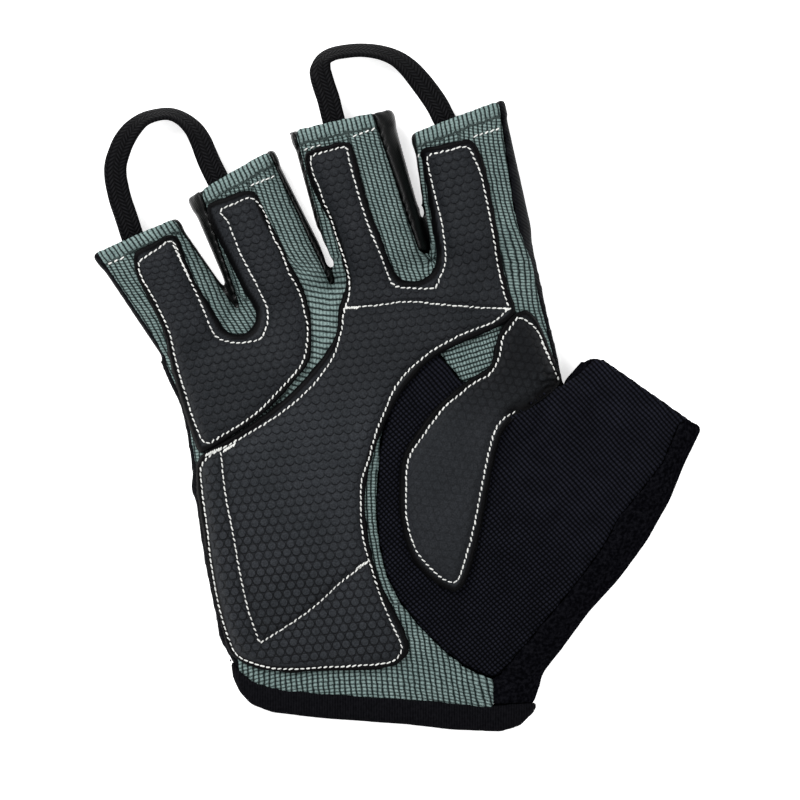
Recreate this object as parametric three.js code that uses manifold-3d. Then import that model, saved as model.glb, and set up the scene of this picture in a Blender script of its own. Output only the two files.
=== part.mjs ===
// A half-finger training glove for the right hand, lying on its back with the palm up.
// The fingers point along +Y, the thumb leans to +X, and the back rests on the plane z = 0.
// Lengths are in millimetres. Plan points are shares of the palm's width and length.
import * as THREE from 'three';
import { mergeVertices } from 'three/addons/utils/BufferGeometryUtils.js';
import Module from 'manifold-3d';

const wasm = await Module();
wasm.setup();

// Main sizes of the glove as it lies.
const palmWidth = 104;
const palmLength = 122;
const palmDepth = 22;
const fingerLength = 38.8;
const fingerWidth = 27.4;
const fingerDepth = 14;
const thumbLength = 82.8;
const thumbWidth = 35.4;
const thumbDepth = 20;

// Walls, layers and seams.
const clothWall = 1.8;
const padThickness = 2.2;
const hemHeight = 3.8;
const hemRise = 0.5;
const bindingSwell = 0.8;
const edgeRoll = 1.2;
const backSeamHeight = 3.4;
const pieceGap = 0.3;

// The braided tape of the pull loops.
const tapeWidth = 6;
const tapeThickness = 1.6;
const tapeSewnLength = 7;

// Fineness of the solids.
const sectionSides = 20;
const palmStepsPerRow = 2;
const thumbStepsPerRow = 1;
const tapeStepsPerRow = 3;

// Form of every cross-section: the height of its widest line as a share of its crown,
// how square its shoulders are, and how much of the underside lies flat.
const seamShare = 0.42;
const squareness = 0.85;
const flatShare = 1.3;

// How far cutting solids reach past the glove.
const beyond = 2 * palmWidth;

// The palm's tube, from beyond the wrist opening to the line of the finger roots.
const palmRows = [
  { leftX: -0.430, leftY: -0.790, rightX: 0.330, rightY: -0.860, crown: 0.60 },
  { leftX: -0.424, leftY: -0.664, rightX: 0.335, rightY: -0.735, crown: 0.62 },
  { leftX: -0.430, leftY: -0.600, rightX: 0.350, rightY: -0.665, crown: 0.68 },
  { leftX: -0.448, leftY: -0.550, rightX: 0.376, rightY: -0.585, crown: 0.75 },
  { leftX: -0.485, leftY: -0.458, rightX: 0.395, rightY: -0.443, crown: 0.86 },
  { leftX: -0.521, leftY: -0.290, rightX: 0.397, rightY: -0.243, crown: 0.96 },
  { leftX: -0.543, leftY: -0.135, rightX: 0.410, rightY: -0.066, crown: 1.00 },
  { leftX: -0.571, leftY: -0.011, rightX: 0.421, rightY: 0.049, crown: 0.98 },
  { leftX: -0.623, leftY: 0.084, rightX: 0.387, rightY: 0.177, crown: 0.91 },
  { leftX: -0.582, leftY: 0.164, rightX: 0.345, rightY: 0.345, crown: 0.74 },
];

// The four half fingers: root point, lean to the left, size shares, the turn of the hem,
// and where the knit panel ends at the left and right, as shares of the half width.
const fingers = [
  { name: 'little', rootX: -0.523, rootY: 0.153, lean: 34.3, length: 0.798, rootWidth: 0.876,
    tipWidth: 0.861, hemTurn: 10.6, leftTip: -0.90, leftRoot: -0.90, rightTip: 0.97, rightRoot: 0.97 },
  { name: 'ring', rootX: -0.302, rootY: 0.248, lean: 25.1, length: 0.881, rootWidth: 1.007,
    tipWidth: 0.938, hemTurn: -5.4, leftTip: -0.70, leftRoot: -0.92, rightTip: 0.90, rightRoot: 0.84 },
  { name: 'middle', rootX: -0.055, rootY: 0.313, lean: 15.3, length: 1, rootWidth: 1.007,
    tipWidth: 1.005, hemTurn: 2.9, leftTip: -0.91, leftRoot: -0.93, rightTip: 0.62, rightRoot: 0.78 },
  { name: 'index', rootX: 0.209, rootY: 0.360, lean: 10.65, length: 0.858, rootWidth: 1.015,
    tipWidth: 0.930, hemTurn: -10.1, leftTip: -0.97, leftRoot: -0.97, rightTip: 0.90, rightRoot: 0.70 },
];
// Stations along every finger, as shares of its length: its hidden root lies in the palm.
const fingerStations = [-0.42, 0, 0.35, 0.7];
const rootCrownShare = 0.80;
const hiddenCrownShare = 0.60;
const hiddenWidthShare = 0.84;
// Where the palm side's knit meets the outer fingers, as a share of their length.
const knitRootShare = 0.12;

// The thumb's tube: stations along it, its left and right edges as shares of its width.
const thumbRoot = { x: 0.177, y: -0.531, lean: -35.1 };
const thumbRows = [
  { along: 0.00, left: -0.58, right: 0.60, crown: 0.82 },
  { along: 0.15, left: -0.74, right: 0.618, crown: 0.92 },
  { along: 0.30, left: -0.84, right: 0.625, crown: 1.00 },
  { along: 0.45, left: -0.84, right: 0.668, crown: 1.03 },
  { along: 0.60, left: -0.74, right: 0.675, crown: 1.00 },
  { along: 0.75, left: -0.60, right: 0.640, crown: 0.94 },
  { along: 0.88, left: -0.52, right: 0.570, crown: 0.86 },
  { along: 1.00, left: -0.49, right: 0.525, crown: 0.78 },
];

// Height of the seam between palm side and back, along the glove.
const seamRows = [
  { y: -0.90 * palmLength, height: 0.36 * palmDepth },
  { y: -0.60 * palmLength, height: 0.38 * palmDepth },
  { y: -0.20 * palmLength, height: 0.50 * palmDepth },
  { y: 0.15 * palmLength, height: 0.46 * palmDepth },
  { y: 0.32 * palmLength, height: 0.40 * palmDepth },
  { y: 0.32 * palmLength + 0.9 * fingerLength, height: 0.55 * fingerDepth },
  { y: 0.32 * palmLength + 2 * fingerLength, height: 0.55 * fingerDepth },
];

// Inner and outer edge of the binding at the wrist, from left to right.
const cuffInner = [
  { x: -0.520, y: -0.540 }, { x: -0.452, y: -0.558 }, { x: -0.416, y: -0.604 }, { x: -0.374, y: -0.628 },
  { x: -0.304, y: -0.643 }, { x: -0.154, y: -0.653 }, { x: 0.084, y: -0.666 }, { x: 0.221, y: -0.679 },
  { x: 0.340, y: -0.673 }, { x: 0.460, y: -0.655 },
];
const cuffOuter = [
  { x: -0.520, y: -0.585 }, { x: -0.454, y: -0.600 }, { x: -0.431, y: -0.620 }, { x: -0.416, y: -0.646 },
  { x: -0.387, y: -0.673 }, { x: -0.333, y: -0.690 }, { x: -0.214, y: -0.702 }, { x: 0.025, y: -0.717 },
  { x: 0.144, y: -0.729 }, { x: 0.262, y: -0.733 }, { x: 0.311, y: -0.721 }, { x: 0.340, y: -0.696 },
  { x: 0.460, y: -0.690 },
];

// The knit panel over the ball of the thumb: its edge in the palm, then along the plush band.
const thumbPanelOutline = [
  { x: 0.096, y: 0.106 }, { x: 0.164, y: 0.035 }, { x: 0.431, y: 0.035 }, { x: 0.454, y: 0.122 },
  { x: 0.519, y: 0.220 }, { x: 0.860, y: 0.100 }, { x: 0.780, y: -0.040 }, { x: 0.724, y: -0.049 },
  { x: 0.683, y: -0.135 }, { x: 0.629, y: -0.195 }, { x: 0.569, y: -0.257 }, { x: 0.522, y: -0.328 },
  { x: 0.452, y: -0.409 }, { x: 0.402, y: -0.460 }, { x: 0.325, y: -0.540 }, { x: 0.255, y: -0.610 },
  { x: 0.234, y: -0.611 }, { x: 0.174, y: -0.590 }, { x: 0.114, y: -0.553 }, { x: 0.055, y: -0.502 },
  { x: 0.000, y: -0.443 }, { x: -0.035, y: -0.381 }, { x: -0.053, y: -0.310 }, { x: -0.059, y: -0.239 },
  { x: -0.055, y: -0.166 }, { x: -0.047, y: -0.080 }, { x: -0.021, y: 0.000 }, { x: 0.026, y: 0.058 },
];
// The zone of the plush panel, which holds the thumb's outer side and back.
const thumbSideZone = [
  { x: 0.431, y: 0.035 }, { x: 0.380, y: -0.177 }, { x: 0.312, y: -0.443 }, { x: 0.240, y: -0.611 },
  { x: 0.228, y: -0.900 }, { x: 1.000, y: -0.900 }, { x: 1.000, y: 0.260 }, { x: 0.519, y: 0.260 },
  { x: 0.454, y: 0.122 },
];

// The leather pads: a prong on each finger, by stations along it, and a body in the palm.
const prongs = {
  little: [
    { along: 0.90, left: -0.20, right: 0.70 }, { along: 0.75, left: -0.30, right: 0.81 },
    { along: 0.40, left: -0.46, right: 0.72 }, { along: -0.10, left: -0.76, right: 0.52 },
  ],
  ring: [
    { along: 0.86, left: -0.72, right: 0.22 }, { along: 0.75, left: -0.76, right: 0.36 },
    { along: 0.35, left: -0.79, right: 0.36 }, { along: -0.10, left: -0.77, right: 0.38 },
  ],
  middle: [
    { along: 0.874, left: -0.87, right: 0.00 }, { along: 0.73, left: -0.87, right: 0.08 },
    { along: 0.28, left: -0.82, right: 0.10 }, { along: -0.10, left: -0.72, right: 0.20 },
  ],
  index: [
    { along: 0.83, left: -0.88, right: 0.12 }, { along: 0.76, left: -0.90, right: 0.25 },
    { along: 0.36, left: -0.93, right: 0.36 }, { along: -0.20, left: -0.98, right: 0.34 },
  ],
};
const ringLittleBody = [
  { x: -0.610, y: 0.144 }, { x: -0.589, y: 0.080 }, { x: -0.566, y: 0.000 }, { x: -0.545, y: -0.082 },
  { x: -0.513, y: -0.118 }, { x: -0.486, y: -0.100 }, { x: -0.380, y: -0.046 }, { x: -0.301, y: 0.004 },
  { x: -0.237, y: 0.071 }, { x: -0.226, y: 0.134 }, { x: -0.236, y: 0.204 }, { x: -0.270, y: 0.278 },
  { x: -0.382, y: 0.200 }, { x: -0.401, y: 0.160 }, { x: -0.431, y: 0.150 }, { x: -0.457, y: 0.158 },
  { x: -0.490, y: 0.200 },
];
const palmBody = [
  { x: -0.160, y: 0.306 }, { x: -0.147, y: 0.270 }, { x: -0.157, y: 0.208 }, { x: -0.164, y: 0.170 },
  { x: -0.183, y: 0.112 }, { x: -0.236, y: 0.055 }, { x: -0.354, y: -0.046 }, { x: -0.460, y: -0.102 },
  { x: -0.513, y: -0.126 }, { x: -0.535, y: -0.164 }, { x: -0.538, y: -0.208 }, { x: -0.506, y: -0.371 },
  { x: -0.482, y: -0.473 }, { x: -0.465, y: -0.533 }, { x: -0.434, y: -0.569 }, { x: -0.392, y: -0.595 },
  { x: -0.321, y: -0.608 }, { x: -0.106, y: -0.600 }, { x: -0.035, y: -0.595 }, { x: 0.007, y: -0.580 },
  { x: 0.028, y: -0.559 }, { x: 0.018, y: -0.524 }, { x: -0.047, y: -0.391 }, { x: -0.077, y: -0.294 },
  { x: -0.077, y: -0.183 }, { x: -0.065, y: -0.100 }, { x: -0.036, y: -0.042 }, { x: -0.003, y: 0.011 },
  { x: 0.036, y: 0.055 }, { x: 0.118, y: 0.100 }, { x: 0.251, y: 0.158 }, { x: 0.304, y: 0.197 },
  { x: 0.283, y: 0.266 }, { x: 0.262, y: 0.330 }, { x: 0.092, y: 0.330 }, { x: 0.084, y: 0.280 },
  { x: 0.022, y: 0.263 }, { x: -0.024, y: 0.295 }, { x: -0.040, y: 0.330 }, { x: -0.150, y: 0.330 },
];
const thumbLeaf = [
  { x: 0.319, y: 0.197 }, { x: 0.350, y: 0.184 }, { x: 0.376, y: 0.153 }, { x: 0.402, y: 0.108 },
  { x: 0.423, y: 0.062 }, { x: 0.410, y: 0.031 }, { x: 0.370, y: 0.009 }, { x: 0.312, y: -0.022 },
  { x: 0.280, y: -0.053 }, { x: 0.244, y: -0.137 }, { x: 0.205, y: -0.310 }, { x: 0.187, y: -0.367 },
  { x: 0.164, y: -0.412 }, { x: 0.132, y: -0.425 }, { x: 0.093, y: -0.407 }, { x: 0.049, y: -0.378 },
  { x: 0.013, y: -0.332 }, { x: -0.005, y: -0.274 }, { x: -0.010, y: -0.195 }, { x: 0.000, y: -0.131 },
  { x: 0.034, y: -0.075 }, { x: 0.075, y: -0.024 }, { x: 0.153, y: 0.040 }, { x: 0.203, y: 0.064 },
  { x: 0.226, y: 0.077 }, { x: 0.241, y: 0.133 }, { x: 0.260, y: 0.157 }, { x: 0.288, y: 0.179 },
];

// The free arch of each pull loop, from its left to its right finger: where it stands along the
// line between the two openings, how far out it leans beyond that line, its height as a share of
// the sewn ends' height, and how far the tape is turned on its edge, in degrees. Its reach is a
// share of the finger length, and its ends enter the openings at a share of each half width.
const loopArches = [
  { name: 'pull_loop_little_ring', from: 'little', fromAcross: 0, to: 'ring', toAcross: -0.2, reach: 0.67, rows: [
    { along: 0.04, out: 0.27, height: 0.95, turn: 0 }, { along: 0.10, out: 0.51, height: 0.82, turn: 5 },
    { along: 0.21, out: 0.73, height: 0.64, turn: 15 }, { along: 0.38, out: 0.90, height: 0.48, turn: 35 },
    { along: 0.62, out: 0.97, height: 0.40, turn: 55 }, { along: 0.83, out: 0.89, height: 0.40, turn: 60 },
    { along: 0.95, out: 0.60, height: 0.52, turn: 30 }, { along: 0.92, out: 0.32, height: 0.80, turn: 5 },
  ] },
  { name: 'pull_loop_middle_index', from: 'middle', fromAcross: -0.16, to: 'index', toAcross: -0.25, reach: 0.515, rows: [
    { along: -0.11, out: 0.22, height: 0.95, turn: 0 }, { along: -0.17, out: 0.49, height: 0.80, turn: 0 },
    { along: -0.17, out: 0.74, height: 0.60, turn: 15 }, { along: -0.08, out: 0.91, height: 0.46, turn: 45 },
    { along: 0.13, out: 0.95, height: 0.40, turn: 55 }, { along: 0.34, out: 0.93, height: 0.42, turn: 50 },
    { along: 0.51, out: 0.81, height: 0.52, turn: 30 }, { along: 0.65, out: 0.56, height: 0.72, turn: 10 },
    { along: 0.78, out: 0.27, height: 0.92, turn: 0 },
  ] },
];

// Colours and finishes of the cloths, the leather and the tape.
const knitGrey = new THREE.MeshStandardMaterial({ color: 0x6f8482, roughness: 0.9, metalness: 0 });
const backCloth = new THREE.MeshStandardMaterial({ color: 0x15161b, roughness: 0.85, metalness: 0 });
const satinCloth = new THREE.MeshStandardMaterial({ color: 0x1b1d23, roughness: 0.45, metalness: 0 });
const knitBlack = new THREE.MeshStandardMaterial({ color: 0x10111a, roughness: 0.9, metalness: 0 });
const plushCloth = new THREE.MeshStandardMaterial({ color: 0x0b0b10, roughness: 1, metalness: 0 });
const leather = new THREE.MeshStandardMaterial({ color: 0x2f3035, roughness: 0.55, metalness: 0 });
const bindingCloth = new THREE.MeshStandardMaterial({ color: 0x121317, roughness: 0.95, metalness: 0 });
const braidTape = new THREE.MeshStandardMaterial({ color: 0x16171b, roughness: 0.8, metalness: 0 });

const blend = (a, b, share) => a + (b - a) * share;
const radians = THREE.MathUtils.degToRad;
const onPalm = ({ x, y }) => [x * palmWidth, y * palmLength];

// A plan frame that leans to the left of +Y: gives the point at a distance along and across it.
function leaningFrame(rootX, rootY, lean) {
  const [x, y] = onPalm({ x: rootX, y: rootY });
  const sine = Math.sin(radians(lean));
  const cosine = Math.cos(radians(lean));
  return (along, across) => [x - sine * along + cosine * across, y + cosine * along + sine * across];
}

// One cross-section of a tube, from its left and right edge points in plan and its crown height.
function section(left, right, crown) {
  const width = Math.hypot(right[0] - left[0], right[1] - left[1]);
  return {
    x: (left[0] + right[0]) / 2,
    y: (left[1] + right[1]) / 2,
    acrossX: (right[0] - left[0]) / width,
    acrossY: (right[1] - left[1]) / width,
    half: width / 2,
    crown,
  };
}

// Slides a section along its tube: a positive distance is onwards, a negative one backwards.
const slid = (row, distance) => ({
  ...row,
  x: row.x - row.acrossY * distance,
  y: row.y + row.acrossX * distance,
});

// Fills in sections between the rows of a table with smooth curves through the rows.
function smoothRows(rows, steps) {
  const keys = ['x', 'y', 'acrossX', 'acrossY', 'half', 'crown'];
  const curves = keys.map((key) => {
    const points = rows.map((row) => new THREE.Vector3(row[key], 0, 0));
    return new THREE.CatmullRomCurve3(points, false, 'catmullrom', 0.5);
  });
  const count = (rows.length - 1) * steps;
  return Array.from({ length: count + 1 }, (_, index) => {
    const row = {};
    keys.forEach((key, at) => { row[key] = curves[at].getPoint(index / count).x; });
    const size = Math.hypot(row.acrossX, row.acrossY);
    row.acrossX /= size;
    row.acrossY /= size;
    return row;
  });
}

// The points of one section: a rounded upper half and an underside that lies flat.
// A positive layer lies outside the cloth's outer face, but never under the rest plane, and a
// negative one lies inside it.
function sectionPoints(row, layer) {
  const half = row.half + layer;
  const seam = row.crown * seamShare;
  const crown = row.crown + layer;
  const floor = Math.max(0, -layer);
  return Array.from({ length: sectionSides }, (_, index) => {
    const angle = (2 * Math.PI * index) / sectionSides;
    const across = Math.sign(Math.cos(angle)) * half * Math.abs(Math.cos(angle)) ** squareness;
    const lift = Math.abs(Math.sin(angle)) ** squareness;
    const z = Math.sin(angle) >= 0
      ? blend(seam, crown, lift)
      : blend(seam, floor, Math.min(1, flatShare * lift));
    return [row.x + row.acrossX * across, row.y + row.acrossY * across, z];
  });
}

// Joins rings of points, each with as many points, to one closed geometry. Each flat end is a fan
// of triangles round the middle of its ring.
function closedLoft(rings) {
  const sides = rings[0].length;
  const last = (rings.length - 1) * sides;
  const middle = (ring) => [0, 1, 2].map((axis) => ring.reduce((sum, point) => sum + point[axis], 0) / sides);
  const positions = [...rings.flat(2), ...middle(rings[0]), ...middle(rings[rings.length - 1])];
  const firstMiddle = rings.length * sides;
  const indices = [];
  for (let side = 0; side < sides; side += 1) {
    const next = (side + 1) % sides;
    for (let start = 0; start < last; start += sides) {
      const [a, b] = [start + side, start + next];
      indices.push(a, b, b + sides, a, b + sides, a + sides);
    }
    indices.push(firstMiddle, next, side, firstMiddle + 1, last + side, last + next);
  }
  const geometry = new THREE.BufferGeometry();
  geometry.setAttribute('position', new THREE.Float32BufferAttribute(positions, 3));
  geometry.setIndex(indices);
  return geometry;
}

// A closed geometry as a solid that can be joined and cut, turned outwards if need be.
function toSolid(geometry) {
  const bare = geometry.clone();
  bare.deleteAttribute('normal');
  bare.deleteAttribute('uv');
  const merged = mergeVertices(bare, 1e-4);
  const vertProperties = new Float32Array(merged.attributes.position.array);
  const triVerts = new Uint32Array(merged.index.array);
  if (signedVolume(vertProperties, triVerts) < 0) {
    for (let face = 0; face < triVerts.length; face += 3) {
      [triVerts[face + 1], triVerts[face + 2]] = [triVerts[face + 2], triVerts[face + 1]];
    }
  }
  return new wasm.Manifold(new wasm.Mesh({ numProp: 3, vertProperties, triVerts }));
}

// Six times the volume inside a closed mesh, negative where its faces point inwards.
function signedVolume(points, faces) {
  const corner = (index) => new THREE.Vector3().fromArray(points, 3 * index);
  let volume = 0;
  for (let face = 0; face < faces.length; face += 3) {
    const [a, b, c] = [corner(faces[face]), corner(faces[face + 1]), corner(faces[face + 2])];
    volume += a.dot(b.cross(c));
  }
  return volume;
}

const joined = (solids) => solids.reduce((sum, solid) => sum.add(solid));
const tube = (rows, layer) => toSolid(closedLoft(rows.map((row) => sectionPoints(row, layer))));

// The palm's tube. Its closed end at the finger roots moves with the layer.
function palmTube(layer) {
  const rows = smoothRows(palmRows.map((row) => section(
    onPalm({ x: row.leftX, y: row.leftY }),
    onPalm({ x: row.rightX, y: row.rightY }),
    row.crown * palmDepth,
  )), palmStepsPerRow);
  rows[rows.length - 1] = slid(rows[rows.length - 1], layer);
  return tube(rows, layer);
}

// Gives the plan point of a finger at a share of its length and of its half width.
function fingerPoint(finger, along, across) {
  const frame = leaningFrame(finger.rootX, finger.rootY, finger.lean);
  const share = Math.max(0, Math.min(1, along));
  const half = (fingerWidth * blend(finger.rootWidth, finger.tipWidth, share)) / 2;
  const length = fingerLength * finger.length;
  const turn = Math.tan(radians(-finger.hemTurn)) * share;
  return frame(along * length + across * half * turn, across * half);
}

// A finger's tube, with its turned hem standing proud. An inner layer runs out of the opening.
function fingerTube(finger, layer) {
  const length = fingerLength * finger.length;
  const hem = 1 - hemHeight / length;
  const step = pieceGap / length;
  const overrun = layer < 0 ? hemHeight / length : 0;
  const crownAt = (along) => (along < 0
    ? hiddenCrownShare * palmDepth
    : blend(rootCrownShare * palmDepth, fingerDepth, Math.min(1, along)));
  const row = (along) => {
    const side = along < 0 ? hiddenWidthShare : 1;
    return section(fingerPoint(finger, along, -side), fingerPoint(finger, along, side), crownAt(along));
  };
  const plain = [...fingerStations, hem - step].map(row);
  const rise = layer < 0 ? 0 : hemRise;
  const ends = [hem, 1 + overrun].map(row).map((end) => ({
    ...end, half: end.half + rise, crown: end.crown + rise,
  }));
  return tube([...plain, ...ends], layer);
}

// The thumb's tube, which starts inside the palm and ends in its opening.
function thumbTube(layer) {
  const frame = leaningFrame(thumbRoot.x, thumbRoot.y, thumbRoot.lean);
  const rows = smoothRows(thumbRows.map((row) => section(
    frame(row.along * thumbLength, row.left * thumbWidth),
    frame(row.along * thumbLength, row.right * thumbWidth),
    row.crown * thumbDepth,
  )), thumbStepsPerRow);
  const end = rows[rows.length - 1];
  return tube(layer < 0 ? [...rows, slid(end, hemHeight)] : rows, layer);
}

// All tubes joined, as one solid with its surface at the given layer.
const bodyAt = (layer) => joined([
  palmTube(layer), thumbTube(layer), ...fingers.map((finger) => fingerTube(finger, layer)),
]);

// Moves each side of a closed outline outwards by a distance.
function grown(outline, distance) {
  const count = outline.length;
  const area = outline.reduce((sum, [x, y], index) => {
    const [nextX, nextY] = outline[(index + 1) % count];
    return sum + x * nextY - y * nextX;
  }, 0);
  const outwards = Math.sign(area) * distance;
  return outline.map(([x, y], index) => {
    const [beforeX, beforeY] = outline[(index + count - 1) % count];
    const [afterX, afterY] = outline[(index + 1) % count];
    const one = new THREE.Vector2(y - beforeY, beforeX - x).normalize();
    const two = new THREE.Vector2(afterY - y, x - afterX).normalize();
    const mean = one.clone().add(two).normalize();
    const reach = outwards / Math.max(0.5, mean.dot(one));
    return [x + mean.x * reach, y + mean.y * reach];
  });
}

// An upright prism over a plan outline.
function prism(outline, low = -beyond, high = beyond) {
  const shape = new THREE.Shape(outline.map(([x, y]) => new THREE.Vector2(x, y)));
  const geometry = new THREE.ExtrudeGeometry(shape, { depth: high - low, bevelEnabled: false });
  return toSolid(geometry.translate(0, 0, low));
}

// All space above the seam between palm side and back, lowered by a distance.
function aboveSeam(lowered = 0) {
  const line = seamRows.map((row) => new THREE.Vector2(row.y, row.height - lowered));
  const first = new THREE.Vector2(-beyond, line[0].y);
  const last = new THREE.Vector2(beyond, line[line.length - 1].y);
  const shape = new THREE.Shape([
    new THREE.Vector2(-beyond, beyond), first, ...line, last, new THREE.Vector2(beyond, beyond),
  ]);
  const geometry = new THREE.ExtrudeGeometry(shape, { depth: 2 * beyond, bevelEnabled: false });
  geometry.translate(0, 0, -beyond);
  geometry.applyMatrix4(new THREE.Matrix4().makeBasis(
    new THREE.Vector3(0, 1, 0), new THREE.Vector3(0, 0, 1), new THREE.Vector3(1, 0, 0),
  ));
  return toSolid(geometry);
}

// The palm side's knit: the palm's outline drawn in by the rolled edge, and a strip up each finger.
function knitZone(growth) {
  const rows = palmRows.slice(0, -1);
  const lefts = rows.map((row) => onPalm({ x: row.leftX, y: row.leftY }));
  const rights = rows.map((row) => onPalm({ x: row.rightX, y: row.rightY })).reverse();
  const [little, , , index] = fingers;
  const roots = [
    fingerPoint(little, knitRootShare, -1),
    fingerPoint(index, knitRootShare, index.rightRoot),
  ];
  const palm = grown([...lefts, ...roots, ...rights], growth - edgeRoll);
  const strips = fingers.map((finger) => {
    const at = (along, left) => {
      const share = Math.max(0, Math.min(1, along));
      const across = left
        ? blend(finger.leftRoot, finger.leftTip, share)
        : blend(finger.rightRoot, finger.rightTip, share);
      return fingerPoint(finger, along, across);
    };
    const stations = [-0.35, 0, 0.5, 1, 1.3];
    const strip = [...stations.map((along) => at(along, true)),
      ...stations.map((along) => at(along, false)).reverse()];
    return prism(grown(strip, growth));
  });
  return joined([prism(palm), ...strips]);
}

// The room between two fingers' middle lines, above the back's seam, down past the crotch.
function fourchetteZone(left, right, growth) {
  const outline = [
    fingerPoint(left, -0.16, 0.1), fingerPoint(left, 1.4, 0),
    fingerPoint(right, 1.4, 0), fingerPoint(right, -0.16, -0.1),
  ];
  return prism(grown(outline, growth), backSeamHeight - growth);
}

// The binding's band in plan, or all that lies inside it, towards the fingers.
const cuffBand = () => prism([...cuffInner.map(onPalm), ...cuffOuter.map(onPalm).reverse()]);
function insideCuff() {
  const edge = cuffInner.map(onPalm);
  const low = edge.map(([x, y]) => [x, y + pieceGap]);
  return prism([[-beyond, low[0][1]], ...low, [beyond, low[low.length - 1][1]], [beyond, beyond], [-beyond, beyond]]);
}

// The largest connected body of a solid: cuts may leave crumbs too small to be cloth.
function largestBody(points, faces) {
  const owner = Array.from({ length: points.length / 3 }, (_, index) => index);
  const rootOf = (index) => {
    let root = index;
    while (owner[root] !== root) root = owner[root];
    return root;
  };
  for (let face = 0; face < faces.length; face += 3) {
    const root = rootOf(faces[face]);
    owner[rootOf(faces[face + 1])] = root;
    owner[rootOf(faces[face + 2])] = root;
  }
  const bodies = new Map();
  for (let face = 0; face < faces.length; face += 3) {
    const root = rootOf(faces[face]);
    if (!bodies.has(root)) bodies.set(root, []);
    bodies.get(root).push(faces[face], faces[face + 1], faces[face + 2]);
  }
  const sized = [...bodies.values()].map((body) => ({ body, volume: signedVolume(points, body) }));
  return sized.reduce((best, one) => (one.volume > best.volume ? one : best)).body;
}

// A named mesh from a solid.
function piece(name, solid, material) {
  const { vertProperties, triVerts } = solid.getMesh();
  const geometry = new THREE.BufferGeometry();
  geometry.setAttribute('position', new THREE.BufferAttribute(new Float32Array(vertProperties), 3));
  geometry.setIndex(largestBody(vertProperties, triVerts));
  const merged = mergeVertices(geometry, 1e-3);
  merged.computeVertexNormals();
  const mesh = new THREE.Mesh(merged, material);
  mesh.name = name;
  return mesh;
}

// The cloth shell, cut off at the binding, and the zones that its panels take from it.
const shell = bodyAt(0).subtract(bodyAt(-clothWall)).intersect(insideCuff());
const palmSide = aboveSeam();
const palmSideGrown = aboveSeam(pieceGap);
const thumbZone = (growth) => prism(grown(thumbSideZone.map(onPalm), growth));
const thumbPanelZone = (growth) => prism(grown(thumbPanelOutline.map(onPalm), growth));

function palmPanel() {
  const zone = knitZone(0).intersect(palmSide);
  return shell.intersect(zone).subtract(thumbPanelZone(pieceGap)).subtract(thumbZone(pieceGap));
}

function thumbPanel() {
  return shell.intersect(thumbPanelZone(0)).intersect(palmSide);
}

function thumbSidePanel() {
  return shell.intersect(thumbZone(0)).subtract(thumbPanelZone(pieceGap).intersect(palmSideGrown));
}

function fourchette(left, right) {
  const knit = knitZone(pieceGap).intersect(palmSideGrown);
  return shell.intersect(fourchetteZone(left, right, 0)).subtract(knit);
}

function backPanel() {
  const knit = knitZone(pieceGap).intersect(palmSideGrown);
  const thumb = thumbPanelZone(pieceGap).intersect(palmSideGrown).add(thumbZone(pieceGap));
  const between = fingers.slice(1).map((finger, index) => fourchetteZone(fingers[index], finger, pieceGap));
  return shell.subtract(knit).subtract(thumb).subtract(joined(between));
}

function cuffBinding() {
  return bodyAt(bindingSwell).subtract(bodyAt(-clothWall - bindingSwell)).intersect(cuffBand());
}

// A leather pad lies on the cloth: a layer of one thickness over the plan outline.
const padBase = bodyAt(pieceGap);
const padTop = bodyAt(pieceGap + padThickness);
function pad(outlines) {
  const zone = joined(outlines.map((outline) => prism(outline))).intersect(palmSide);
  return padTop.subtract(padBase).intersect(zone);
}

function prongOutline(name) {
  const finger = fingers.find((one) => one.name === name);
  const rows = prongs[name];
  return [
    ...rows.map((row) => fingerPoint(finger, row.along, row.left)).reverse(),
    ...rows.map((row) => fingerPoint(finger, row.along, row.right)),
  ];
}

// A pull loop: flat tape from one finger's opening to the next, both ends sewn under the hem.
function pullLoop({ from, fromAcross, to, toAcross, reach, rows }) {
  const [left, right] = [from, to].map((name) => fingers.find((one) => one.name === name));
  const sewnHeight = fingerDepth - clothWall - pieceGap - tapeThickness / 2 - hemRise;
  const inner = (finger) => 1 - tapeSewnLength / (fingerLength * finger.length);
  const start = new THREE.Vector2(...fingerPoint(left, 1, 0));
  const end = new THREE.Vector2(...fingerPoint(right, 1, 0));
  const span = end.clone().sub(start);
  const outwards = new THREE.Vector2(-span.y, span.x).normalize();
  const arch = rows.map((row) => {
    const at = start.clone().addScaledVector(span, row.along).addScaledVector(outwards, row.out * reach * fingerLength);
    return { x: at.x, y: at.y, z: row.height * sewnHeight, turn: row.turn };
  });
  const sewn = (finger, along, across) => {
    const [x, y] = fingerPoint(finger, along, across);
    return { x, y, z: sewnHeight, turn: 0 };
  };
  const stations = [
    sewn(left, inner(left), fromAcross), sewn(left, 1, fromAcross), ...arch,
    sewn(right, 1, toAcross), sewn(right, inner(right), toAcross),
  ];
  const path = new THREE.CatmullRomCurve3(stations.map(({ x, y, z }) => new THREE.Vector3(x, y, z)));
  const turns = new THREE.CatmullRomCurve3(stations.map(({ turn }) => new THREE.Vector3(turn, 0, 0)));
  const count = tapeStepsPerRow * (stations.length - 1);
  const rings = Array.from({ length: count + 1 }, (_, index) => {
    const point = path.getPoint(index / count);
    const along = path.getTangent(index / count);
    const level = new THREE.Vector3(along.y, -along.x, 0).normalize();
    const across = level.applyAxisAngle(along, radians(turns.getPoint(index / count).x));
    const face = across.clone().cross(along);
    const corner = (u, v) => point.clone().addScaledVector(across, (u * tapeWidth) / 2)
      .addScaledVector(face, (v * tapeThickness) / 2).toArray();
    return [corner(-1, -1), corner(1, -1), corner(1, 1), corner(-1, 1)];
  });
  return toSolid(closedLoft(rings));
}

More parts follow.
